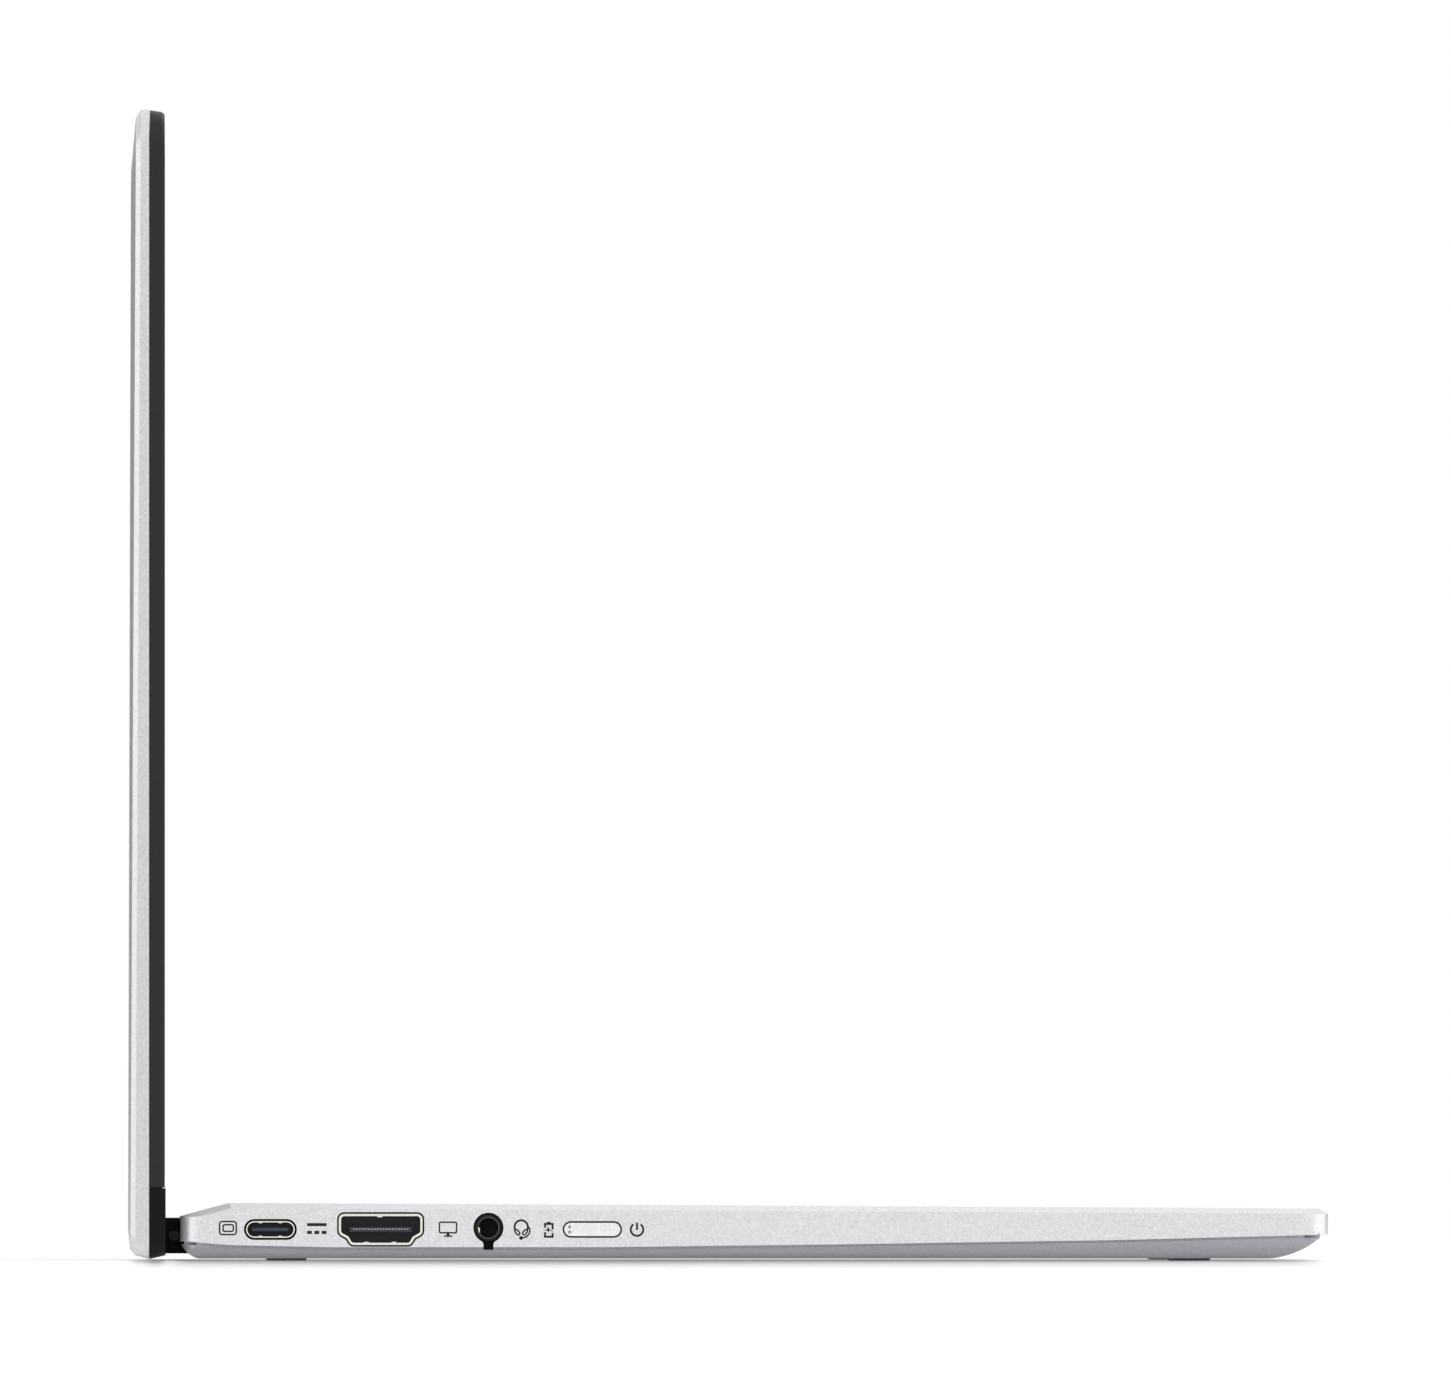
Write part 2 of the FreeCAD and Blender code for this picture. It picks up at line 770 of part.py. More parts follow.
def curled_section(y, seam_z, offset):
    """A cross section of the bottom cover: flat floor and sides that curl up to the parting line."""
    low = under_z + offset
    reach = half_width - lower_inset - offset * 1.3
    rise = seam_z - low
    radius = (side_curl ** 2 + rise ** 2) / (2 * rise)
    turn = math.asin(side_curl / radius) / 2
    flat = reach - side_curl
    bend = (flat + radius * math.sin(turn), low + radius * (1 - math.cos(turn)))
    right = Part.Arc(Vector(flat, y, low), Vector(bend[0], y, bend[1]), Vector(reach, y, seam_z))
    left = Part.Arc(Vector(-reach, y, seam_z), Vector(-bend[0], y, bend[1]), Vector(-flat, y, low))
    top = Part.LineSegment(Vector(reach, y, seam_z), Vector(-reach, y, seam_z))
    bottom = Part.LineSegment(Vector(-flat, y, low), Vector(flat, y, low))
    return Part.Wire([piece.toShape() for piece in (right, top, left, bottom)])


def bottom_cover_form(offset):
    """The closed form of the bottom cover, drawn in by offset to make its inside."""
    seam = seam_points(-seam_gap / 2 if offset == 0 else seam_gap)
    stations = [(rear_y + 2, seam[0][1])] + seam[1:-1] + [(front_y - 2, seam[-1][1])]
    curled = Part.makeLoft([curled_section(y, z, offset) for y, z in stations], True, True)
    rear_in = rear_y - lower_inset - 1.5 * offset
    front_in = front_y + scoop_end_inset + 2.2 * offset
    outline = [
        (rear_in, seam[0][1]),
        (rear_y - tail_length - offset / 2, under_z + offset, tail_bow),
        (front_y + scoop_length + offset / 2, under_z + offset),
        (front_in, seam[-1][1], scoop_bow),
    ] + list(reversed(seam[1:-1]))
    form = side_extrusion(outline, -half_width, half_width)
    plan = base_plan(lower_inset + offset, 0.0, crest_height)
    return form.common(curled).common(plan)


def foot_places():
    """The outline (x, y, length) of each foot under the base."""
    rear_length = body_width - 2 * rear_foot_from_side
    rear = [(0.0, rear_y - tail_length - foot_from_end, rear_length)]
    front_x = half_width - side_curl - foot_from_end - front_foot_length / 2
    front_foot_y = front_y + scoop_length + foot_from_end
    front = [(side * front_x, front_foot_y, front_foot_length) for side in (-1, 1)]
    return rear + front


def foot_block(place, z0, z1):
    x, y, length = place
    return rounded_block(x - length / 2, x + length / 2, y - foot_width / 2, y + foot_width / 2,
                         z0, z1, foot_width / 2 - 0.1)


def speaker_centre(side):
    return (side * (half_width - side_curl - speaker_gap - speaker_width / 2 - speaker_from_post),
            front_y + scoop_length + speaker_from_front + speaker_depth / 2)


def speaker_grille(side):
    """Rows of slots in the bottom cover below a speaker."""
    x, y = speaker_centre(side)
    slots = []
    for index in range(grille_slot_count):
        place = y + (index - (grille_slot_count - 1) / 2) * grille_slot_pitch
        for column in (-1, 1):
            middle = x + column * (grille_slot_length / 2 + 1.0)
            slots.append(rounded_block(
                middle - grille_slot_length / 2, middle + grille_slot_length / 2,
                place - grille_slot_width / 2, place + grille_slot_width / 2,
                0.0, floor_z + 1, grille_slot_width / 2 - 0.05))
    return slots


def screw_solid(x, y, z, length):
    """A screw with its flat head at z, pointing up."""
    head = rod(screw_head_radius, screw_head_height, (x, y, z), (0, 0, 1))
    drive = rod(screw_radius * 0.75, screw_head_height * 0.6, (x, y, z), (0, 0, 1))
    shank = rod(screw_radius, length, (x, y, z + screw_head_height), (0, 0, 1))
    return joined([head, shank]).cut(drive)


def base_bottom_cover():
    cover = bottom_cover_form(0.0).cut(bottom_cover_form(floor_wall))
    cutters = [hinge_notch(0.0), pin_holes(base_axis_y)]
    cutters.extend(foot_block(place, 0.0, under_z + foot_pocket) for place in foot_places())
    for side in (-1, 1):
        cutters.extend(speaker_grille(side))
    for x, y in both_sides(post_places):
        cutters.append(rod(screw_head_radius, screw_head_height, (x, y, under_z), (0, 0, 1)))
        cutters.append(rod(screw_radius, floor_wall, (x, y, under_z), (0, 0, 1)))
    key_slot = box(-half_width - 1, -half_width + side_curl, jack_y - jack_key_width / 2,
                   jack_y + jack_key_width / 2, under_z + jack_key_bottom, jack_z)
    cutters.append(key_slot)
    return cover.cut(cutters)


# Keyboard

def keyboard_plate():
    plate = box(-plate_half, plate_half, plate_front, plate_rear, plate_top - plate_thickness, web_bottom)
    tub = box(plate_rim - plate_half, plate_half - plate_rim,
              plate_front + plate_rim, plate_rear - plate_rim, plate_top, web_bottom)
    return on_deck(plate.cut(tub))


def key_domes():
    domes = []
    for row_name in key_rows:
        for x0, x1, y0, y1 in key_places(row_name):
            radius = min(dome_radius, (y1 - y0) / 2 - 0.5)
            dome = Part.makeCone(radius, radius * 0.7, key_bottom - plate_top,
                                 Vector((x0 + x1) / 2, (y0 + y1) / 2, plate_top))
            domes.append(on_deck(dome))
    return domes


# Touchpad

pad_bottom = -pad_sink - pad_thickness
pad_pivot_y = pad_y1 - 2 * pad_pivot_radius
pad_pivot_z = pad_bottom - pad_pivot_drop
pad_frame_top = pad_pivot_z - pad_pivot_radius - pad_pivot_clearance
pad_frame_bottom = pad_frame_top - pad_frame_thickness


def touchpad_plate():
    half = pad_width / 2
    plate = rounded_block(-half, half, pad_y0, pad_y1, pad_bottom, -pad_sink, pad_radius)
    pivot = rod(pad_pivot_radius, pad_width - 2 * pad_radius,
                (pad_radius - half, pad_pivot_y, pad_pivot_z), (1, 0, 0))
    return on_deck(joined([plate, pivot]))


def touchpad_frame():
    half = pad_width / 2 + pad_frame_margin
    y0 = pad_y0 - pad_frame_margin / 2
    y1 = pad_y1 + pad_frame_margin / 2
    tray = box(-half, half, y0, y1, pad_frame_bottom, pad_frame_top)
    pieces = [tray]
    flange = pad_frame_margin - pad_clearance - 0.7
    for x0 in (-half, half - flange):
        pieces.append(box(x0, x0 + flange, y0, y1, pad_frame_bottom, -deck_wall))
    cradle = box(-pad_width / 2, pad_width / 2, pad_pivot_y - 3 * pad_pivot_radius,
                 pad_pivot_y + 3 * pad_pivot_radius, pad_frame_bottom, pad_pivot_z)
    pieces.append(cradle)
    groove = rod(pad_pivot_radius + pad_pivot_clearance, pad_width,
                 (-pad_width / 2, pad_pivot_y, pad_pivot_z), (1, 0, 0))
    return on_deck(joined(pieces).cut(groove))


def touchpad_switch():
    half = pad_switch_size / 2
    y = pad_y0 + pad_depth / 5
    return on_deck(box(-half, half, y - half, y + half, pad_frame_top, pad_bottom))


# Sockets

def usb_c_shell(side):
    mouth = half_width - socket_wall_recess
    inner = mouth - usb_c_length
    radius = usb_c_opening_height / 2 - 0.01
    shell = side_block(usb_c_y, port_z, usb_c_shell_width, usb_c_shell_height,
                       radius + usb_c_shell_wall, inner, mouth)
    opening = side_block(usb_c_y, port_z, usb_c_opening_width, usb_c_opening_height, radius,
                         inner + socket_back_wall, mouth + 1)
    shell = shell.cut(opening)
    return shell if side > 0 else mirrored(shell)


def usb_c_tongue(side):
    inner = half_width - socket_wall_recess - usb_c_length + socket_back_wall
    tongue = side_block(usb_c_y, port_z, usb_c_tongue_width, usb_c_tongue_thickness,
                        usb_c_tongue_thickness / 4, inner, half_width - socket_wall_recess - tongue_recess)
    return tongue if side > 0 else mirrored(tongue)


def video_socket_shell():
    mouth = -half_width + socket_wall_recess
    inner = mouth + video_socket_length
    shell = video_socket_prism(video_socket_shell_wall, mouth, inner)
    return shell.cut(video_socket_prism(0.0, mouth - 1, inner - socket_back_wall))


def video_socket_tongue():
    mouth = -half_width + socket_wall_recess
    inner = mouth + video_socket_length - socket_back_wall
    return side_block(video_socket_y, port_z, video_socket_tongue_width, video_socket_tongue_thickness,
                      video_socket_tongue_thickness / 4, mouth + tongue_recess, inner)


def headset_jack_barrel():
    mouth = -half_width + socket_wall_recess
    inner = mouth + jack_length
    ring = rod(jack_ring_radius, inner - mouth, (mouth, jack_y, jack_z), (1, 0, 0))
    half = jack_ring_radius + jack_body_wall
    body = box(-half_width + side_wall + jack_slot_clearance, inner, jack_y - half, jack_y + half,
               jack_z - jack_ring_radius, jack_z + jack_ring_radius)
    bore = rod(jack_bore_radius, jack_length - socket_back_wall, (mouth, jack_y, jack_z), (1, 0, 0))
    return joined([ring, body]).cut([bore, jack_contact_slot()])


def jack_contact_slot():
    """The place of the sprung contact, beside the bore and clear of a plug."""
    start = -half_width + socket_wall_recess + tongue_recess
    half = jack_contact_width / 2
    slot = box(start, start + jack_length / 2, jack_y, jack_y + jack_bore_radius + jack_contact_thickness,
               jack_z - half, jack_z + half)
    return slot.cut(rod(jack_bore_radius, jack_length, (start - 1, jack_y, jack_z), (1, 0, 0)))


def usb_a_shell():
    mouth = half_width - socket_wall_recess
    inner = mouth - usb_a_length
    shell = side_block(usb_a_y, port_z, usb_a_opening_width + 2 * usb_a_shell_wall,
                       usb_a_opening_height + 2 * usb_a_shell_wall, usb_a_shell_wall, inner, mouth)
    opening = box(inner + socket_back_wall, mouth + 1,
                  usb_a_y - usb_a_opening_width / 2, usb_a_y + usb_a_opening_width / 2,
                  port_z - usb_a_opening_height / 2, port_z + usb_a_opening_height / 2)
    return shell.cut(opening)


def usb_a_tongue():
    inner = half_width - socket_wall_recess - usb_a_length + socket_back_wall
    top = port_z + usb_a_opening_height / 2 - usb_a_tongue_drop
    return box(inner, half_width - socket_wall_recess - tongue_recess,
               usb_a_y - usb_a_tongue_width / 2, usb_a_y + usb_a_tongue_width / 2,
               top - usb_a_tongue_thickness, top)


# Power button and volume rocker

button_x = -half_width - button_proud
button_flange_x = -half_width + side_wall + button_flange_gap


def power_button():
    face = side_block(button_y, port_z, button_length, button_height, button_height / 2 - 0.01,
                      button_x, button_flange_x)
    flange = side_block(button_y, port_z, button_length + 2 * button_flange,
                        button_height + 2 * button_flange, button_height / 2,
                        button_flange_x, button_flange_x + button_flange_thickness)
    stem = rod(button_stem_radius, button_stem_length,
               (button_flange_x + button_flange_thickness, button_y, port_z), (1, 0, 0))
    return joined([face, flange, stem]).cut(power_button_lights())


def power_button_lights():
    """Two small light guides near the rear end of the button, flush with its face."""
    y = button_y + button_length / 2 - light_from_end
    depth = button_flange_x + button_flange_thickness - button_x
    lights = []
    for step in (-0.5, 0.5):
        start = (button_x, y, port_z + step * light_spacing)
        lights.append(rod(light_radius, depth, start, (1, 0, 0)))
    return lights


def power_switch_board():
    tip = button_flange_x + button_flange_thickness + button_stem_length + button_travel + switch_gap
    half = button_length / 2 + button_flange
    switch = box(tip, tip + switch_depth, button_y - switch_depth, button_y + switch_depth,
                 port_z - switch_depth / 2, port_z + switch_depth / 2)
    board = box(tip + switch_depth, tip + switch_depth + board_thickness, button_y - half, button_y + half,
                board_top, board_top + switch_board_height)
    return joined([switch, board])


rocker_x = half_width + button_proud
rocker_pivot_x = rocker_x - rocker_thickness - rocker_neck


def volume_rocker():
    face = side_block(rocker_y, port_z, rocker_length, rocker_height, rocker_height / 2 - 0.01,
                      rocker_x - rocker_thickness, rocker_x)
    neck = box(rocker_pivot_x, rocker_x - rocker_thickness, rocker_y - rocker_pivot_radius,
               rocker_y + rocker_pivot_radius, port_z - rocker_height / 2, port_z + rocker_height / 2)
    pivot = rod(rocker_pivot_radius, port_z + rocker_height / 2 - board_top + board_thickness * 0.8,
                (rocker_pivot_x, rocker_y, board_top - board_thickness * 0.8), (0, 0, 1))
    return joined([face, neck, pivot])


def volume_switches():
    tip = rocker_x - rocker_thickness - rocker_swing - switch_gap
    switches = []
    for side in (-1, 1):
        y = rocker_y + side * (rocker_length / 2 - switch_depth)
        switches.append(box(tip - 2 * switch_depth, tip, y - switch_depth, y + switch_depth,
                            board_top, port_z + rocker_height / 2))
    return switches


# Boards and what stands on them

mainboard_x0 = -half_width + side_wall + board_gap
mainboard_x1 = mainboard_x0 + mainboard_width
mainboard_y1 = crest_y + rear_post_behind_crest - post_radius - board_gap
mainboard_y0 = mainboard_y1 - mainboard_depth
io_x1 = half_width - side_wall - board_gap
io_x0 = io_x1 - io_board_width
io_y1 = mainboard_y1
io_y0 = io_y1 - io_board_depth
board_bottom = board_top - board_thickness


def grown_box(shape, grow):
    """The box round a shape, grown on all sides."""
    limits = shape.BoundBox
    return box(limits.XMin - grow, limits.XMax + grow, limits.YMin - grow, limits.YMax + grow,
               limits.ZMin - grow, limits.ZMax + grow)


def mainboard():
    board = box(mainboard_x0, mainboard_x1, mainboard_y0, mainboard_y1, board_bottom, board_top)
    sunk = [grown_box(video_socket_shell(), socket_board_gap),
            grown_box(headset_jack_barrel(), socket_board_gap),
            grown_box(power_button(), button_travel + socket_board_gap)]
    return board.cut(sunk)


def board_block(from_left, from_front, width, depth, height):
    """A block on the mainboard, placed from the board's outer left and front edges."""
    x0 = mainboard_x0 + from_left
    y0 = mainboard_y0 + from_front
    return box(x0, x0 + width, y0, y0 + depth, board_top, board_top + height)


def mainboard_chips():
    """Processor and two memory chips under the spreader, then storage and power chips."""
    return [board_block(*place, chip_height) for place in chip_places]


def heat_spreader():
    plate = board_block(*spreader_place, chip_height + spreader_thickness)
    return plate.cut(board_block(*spreader_place, chip_height))


def wifi_card():
    card = board_block(*radio_card_place, board_thickness)
    shield = board_block(*radio_shield_place, board_thickness + chip_height)
    return joined([card, shield])


def io_board_right():
    board = box(io_x0, io_x1, io_y0, io_y1, board_bottom, board_top)
    pivot_hole = rod(rocker_pivot_radius + pin_clearance, 2 * board_thickness,
                     (rocker_pivot_x, rocker_y, board_bottom - board_thickness / 2), (0, 0, 1))
    return board.cut([grown_box(usb_a_shell(), socket_board_gap), pivot_hole])


def board_rests():
    """Bosses of the bottom cover that carry the two boards."""
    inset = board_rest_inset
    places = []
    for x in (mainboard_x0 + 4 * inset, mainboard_x1 - inset):
        for y in (mainboard_y0 + inset, mainboard_y1 - inset):
            places.append((x, y))
    for y in (io_y0 + inset, io_y1 - inset):
        places.append((io_x0 + inset, y))
    foot_z = under_z + floor_wall / 2
    return [rod(post_radius, board_bottom - foot_z, (x, y, foot_z), (0, 0, 1)) for x, y in places]


# Battery and speakers

battery_y0 = front_y + scoop_length + 2 * post_radius + post_front_gap + board_gap
battery_width = body_width - 2 * battery_from_side


def battery_tray():
    half = battery_width / 2
    tray = box(-half, half, battery_y0, battery_y0 + battery_depth, floor_z, floor_z + battery_height)
    return tray.cut(box(tray_wall - half, half - tray_wall, battery_y0 + tray_wall,
                        battery_y0 + battery_depth - tray_wall, floor_z + tray_wall, 2 * crest_height))


def battery_cells():
    room = battery_width - 2 * tray_wall
    width = (room - (cell_count + 1) * cell_gap) / cell_count
    cells = []
    for index in range(cell_count):
        x0 = -room / 2 + cell_gap + index * (width + cell_gap)
        cells.append(rounded_block(
            x0, x0 + width, battery_y0 + tray_wall + cell_gap,
            battery_y0 + battery_depth - tray_wall - cell_gap,
            floor_z + tray_wall, floor_z + battery_height, 1.5))
    return cells


def speaker(side):
    x, y = speaker_centre(side)
    body = rounded_block(x - speaker_width / 2, x + speaker_width / 2, y - speaker_depth / 2,
                         y + speaker_depth / 2, floor_z, floor_z + speaker_height, 3.0)
    cone = Part.makeCone(speaker_width / 2 - speaker_rim, speaker_width / 6, speaker_height / 2,
                         Vector(x, y, floor_z))
    return body.cut(cone)


# Flat cables inside the base

def keyboard_cable():
    y = mainboard_y0 + cable_width
    x = mainboard_x0 + mainboard_width * 0.75
    plate_under = deck_height(y) + plate_top - plate_thickness - cable_seat_gap
    return box(x - cable_width / 2, x + cable_width / 2, y, y + cable_thickness, board_top, plate_under)


def touchpad_cable():
    start = pad_y1 - cable_width / 4
    end = mainboard_y0 + cable_width / 4
    top = deck_height(start) + pad_frame_bottom - cable_seat_gap
    run = board_top + chip_height
    thick = cable_thickness
    outline = [(start, top), (start, run), (end, run), (end, board_top), (end + thick, board_top),
               (end + thick, run + thick), (start + thick, run + thick), (start + thick, top)]
    x = mainboard_x1 - cable_width
    return side_extrusion(outline, x - cable_width / 2, x + cable_width / 2)


def io_cable():
    y = (io_y0 + io_y1) / 2 - cable_width
    overlap = cable_width / 2
    return box(mainboard_x1 - overlap, io_x0 + overlap, y, y + cable_width, board_top,
               board_top + cable_thickness)


# Hinges

pin_tip_x = link_x + link_width / 2 - link_end_wall


def hinge_pins(axis_y):
    pins = []
    for side in (-1, 1):
        start = (side * ear_inner_x, axis_y, axis_z)
        pins.append(rod(pin_radius, pin_tip_x - pin_end_gap - ear_inner_x, start, (side, 0, 0)))
    return pins


def knuckle(axis_y):
    return rod(ear_radius, ear_width, (ear_inner_x, axis_y, axis_z), (1, 0, 0))


def base_hinge_bracket(side):
    leaf = box(ear_inner_x - base_leaf_length, ear_outer_x, base_axis_y - leaf_width, base_axis_y,
               leaf_top_z - leaf_thickness, leaf_top_z)
    bracket = joined([knuckle(base_axis_y), leaf])
    holes = [rod(pin_radius, ear_width, (ear_inner_x, base_axis_y, axis_z), (1, 0, 0))]
    for x in base_leaf_screws:
        holes.append(rod(screw_radius, 2 * leaf_thickness,
                         (x, base_axis_y - base_leaf_drop, leaf_top_z - 1.5 * leaf_thickness), (0, 0, 1)))
    bracket = bracket.cut(holes)
    return bracket if side > 0 else mirrored(bracket)


def base_hinge_screws():
    screws = []
    for side in (-1, 1):
        for x in base_leaf_screws:
            screws.append(screw_solid(side * x, base_axis_y - base_leaf_drop,
                                      leaf_top_z - leaf_thickness - screw_head_height,
                                      leaf_thickness + hinge_screw_length))
    return screws


def hinge_link(side):
    """A link with round ends about both axes, and blind bores for the pins."""
    x0 = link_x - link_width / 2
    base_end = rod(link_radius, link_width, (x0, base_axis_y, axis_z), (1, 0, 0))
    lid_end = rod(link_radius, link_width, (x0, lid_axis_y, axis_z), (1, 0, 0))
    middle = box(x0, x0 + link_width, base_axis_y, lid_axis_y, axis_z - link_radius, axis_z + link_radius)
    link = joined([base_end, middle, lid_end])
    bores = []
    for axis_y in (base_axis_y, lid_axis_y):
        bores.append(rod(pin_radius + pin_clearance, pin_tip_x - x0, (x0, axis_y, axis_z), (1, 0, 0)))
    link = link.cut(bores + [link_screw()])
    return link if side > 0 else mirrored(link)


def link_screw():
    """The screw in the outer end of a link, between its two axes."""
    end = link_x + link_width / 2
    return rod(link_screw_radius, link_screw_depth,
               (end - link_screw_depth, (base_axis_y + lid_axis_y) / 2, axis_z), (1, 0, 0))


# Lid

def lid_wire(y_bottom, y_top, side_inset, top_inset, bottom_inset):
    """A rounded outline of the lid at a depth that may differ from its bottom to its top."""
    low = lid_bottom_z + bottom_inset
    high = lid_top_z - top_inset
    reach = half_width - side_inset
    radii = (lid_foot_radius, lid_foot_radius, lid_corner_radius, lid_corner_radius)

    def to_point(x, z):
        return Vector(x, y_bottom + (y_top - y_bottom) * (z - low) / (high - low), z)
    return rounded_outline((-reach, low), (reach, high), radii, to_point)


def lid_notch(grow):
    """Both notches in the lower edge of the lid for the links."""
    reach = link_width / 2 + link_side_clearance + grow
    top = axis_z + link_radius + link_clearance + grow
    shapes = []
    for side in (-1, 1):
        middle = side * link_x
        shapes.append(box(middle - reach, middle + reach, chin_y - 2, back_y + 2, -2, top))
    return Part.makeCompound(shapes)


def lid_back_outer():
    seam = lid_seam_y + lid_seam_gap
    wall_y = lid_seam_y + lid_side_wall
    bevel_y = wall_y + lid_bevel
    wires = [
        lid_wire(seam, seam, 0.0, 0.0, 0.0),
        lid_wire(wall_y, wall_y - 2 * lid_taper, lid_side_draft, 0.0, lid_tail_drop),
        lid_wire(bevel_y, bevel_y - 2 * lid_taper, lid_bevel_inset, lid_top_bevel, lid_tail_bevel),
        lid_wire(back_y, back_y - lid_taper, lid_crown_inset, lid_crown_top, lid_crown_inset),
    ]
    return Part.makeLoft(wires, True, True)


def lid_back_cavity():
    rim = lid_rim_wall
    shoulder_y = lid_seam_y + lid_side_wall - lid_wall / 2
    floor_y = back_y - lid_wall
    wires = [
        lid_wire(bezel_y, bezel_y, rim, rim, rim),
        lid_wire(shoulder_y, shoulder_y - 2 * lid_taper, rim, rim, rim + lid_tail_drop),
        lid_wire(floor_y, floor_y - lid_taper,
                 rim + lid_crown_inset, rim + lid_crown_top, rim + lid_crown_inset),
    ]
    return Part.makeLoft(wires, True, True).cut(lid_notch(notch_wall))


lid_leaf_back = lid_axis_y + ear_radius
lid_leaf_screws = [ear_inner_x - lid_leaf_length * share for share in (0.2, 0.8)]
lid_leaf_z = axis_z + leaf_width / 2


def lid_back_cover():
    outer = lid_back_outer()
    cover = outer.cut(lid_back_cavity())
    posts = []
    holes = []
    for side in (-1, 1):
        for x in lid_leaf_screws:
            posts.append(rod(post_radius, back_y - lid_leaf_back - lid_wall / 2,
                             (side * x, lid_leaf_back, lid_leaf_z), (0, 1, 0)))
            holes.append(rod(screw_radius, lid_screw_length + 0.1, (side * x, lid_leaf_back, lid_leaf_z),
                             (0, 1, 0)))
    return cover.fuse(posts).cut(holes + [lid_notch(0.0), pin_holes(lid_axis_y)])


def lid_front_form(face_y, bottom_draft):
    """The closed form between the lid's parting line and its inner face, with a softened edge."""
    edge = bezel_draft * 0.9
    wires = [
        lid_wire(lid_seam_y, lid_seam_y, bezel_step, bezel_step, 0.0),
        lid_wire(face_y + edge, face_y + edge, bezel_draft * 0.5, bezel_draft * 0.7, bottom_draft * 0.8),
        lid_wire(face_y, face_y, bezel_draft, bezel_draft + edge * 0.5, bottom_draft),
    ]
    return Part.makeLoft(wires, True, True)


glass_half = half_width - bezel_draft - glass_margin
glass_z0 = bezel_bottom_z + glass_margin
glass_z1 = lid_top_z - bezel_draft - glass_margin
glass_y0 = bezel_y + glass_recess
glass_y1 = glass_y0 + glass_thickness
panel_width = body_width - 2 * panel_side_margin
panel_z0 = glass_z0 + panel_bottom_margin
panel_z1 = glass_z1 - panel_top_margin
panel_y0 = glass_y1 + panel_gap
camera_z = lid_top_z - camera_from_top


def upright_block(x0, x1, z0, z1, y0, y1, radius):
    """A block with its edges along Y rounded."""
    outline = rounded_outline((x0, z0), (x1, z1), (radius,) * 4, lambda x, z: Vector(x, y0, z))
    return Part.Face(outline).extrude(Vector(0, y1 - y0, 0))


def camera_block(grow):
    return box(-camera_width / 2 - grow, camera_width / 2 + grow,
               glass_y1, glass_y1 + camera_thickness + grow,
               camera_z - camera_height / 2 - grow, camera_z + camera_height / 2 + grow)


def lid_bezel():
    form = lid_front_form(bezel_y, lid_tail_drop)
    form = form.common(box(-body_width, body_width, 0, 2 * back_y, bezel_bottom_z, 2 * lid_height))
    grow = glass_clearance
    pocket = upright_block(-glass_half - grow, glass_half + grow, glass_z0 - grow, glass_z1 + grow,
                           bezel_y - 1, glass_y1, glass_radius + grow)
    room = panel_clearance
    window = box(-panel_width / 2 - room, panel_width / 2 + room, bezel_y, lid_seam_y + 1,
                 panel_z0 - room, panel_z1 + room)
    return form.cut([pocket, window, camera_block(panel_clearance)])


def lid_chin_strip():
    form = lid_front_form(chin_y, lid_tail_drop)
    form = form.common(box(-body_width, body_width, 0, 2 * back_y, 0, chin_top_z))
    room = box(side_wall + bezel_draft - half_width, half_width - side_wall - bezel_draft,
               chin_y + lid_wall, lid_seam_y + 1,
               lid_bottom_z + lid_tail_drop + lid_wall, chin_top_z - lid_wall)
    return form.cut([room.cut(lid_notch(notch_wall)), lid_notch(0.0), pin_holes(lid_axis_y)])


def display_glass():
    glass = upright_block(-glass_half, glass_half, glass_z0, glass_z1, glass_y0, glass_y1, glass_radius)
    return glass.cut(webcam_lens())


def webcam_lens():
    return rod(lens_radius, glass_thickness, (0, glass_y0, camera_z), (0, 1, 0))


def lcd_panel():
    return box(-panel_width / 2, panel_width / 2, panel_y0, panel_y0 + panel_thickness,
               panel_z0, panel_z1)


def display_cable():
    y = panel_y0 + panel_thickness - 2 * cable_thickness
    return box(cable_width, 2 * cable_width, y, y + cable_thickness, axis_z, panel_z0)


def lid_hinge_bracket(side):
    leaf = box(ear_inner_x - lid_leaf_length, ear_outer_x, lid_leaf_back - leaf_thickness, lid_leaf_back,
               axis_z, axis_z + leaf_width)
    bracket = joined([knuckle(lid_axis_y), leaf])
    holes = [rod(pin_radius, ear_width, (ear_inner_x, lid_axis_y, axis_z), (1, 0, 0))]
    for x in lid_leaf_screws:
        holes.append(rod(screw_radius, 2 * leaf_thickness,
                         (x, lid_leaf_back - 1.5 * leaf_thickness, lid_leaf_z), (0, 1, 0)))
    bracket = bracket.cut(holes)
    return bracket if side > 0 else mirrored(bracket)


def lid_hinge_screws():
    screws = []
    for side in (-1, 1):
        for x in lid_leaf_screws:
            upright = screw_solid(0, 0, 0, leaf_thickness + lid_screw_length)
            upright.Placement = Placement(
                Vector(side * x, lid_leaf_back - leaf_thickness - screw_head_height, lid_leaf_z),
                Rotation(Vector(1, 0, 0), -90))
            screws.append(upright)
    return screws


# The nodes of the part

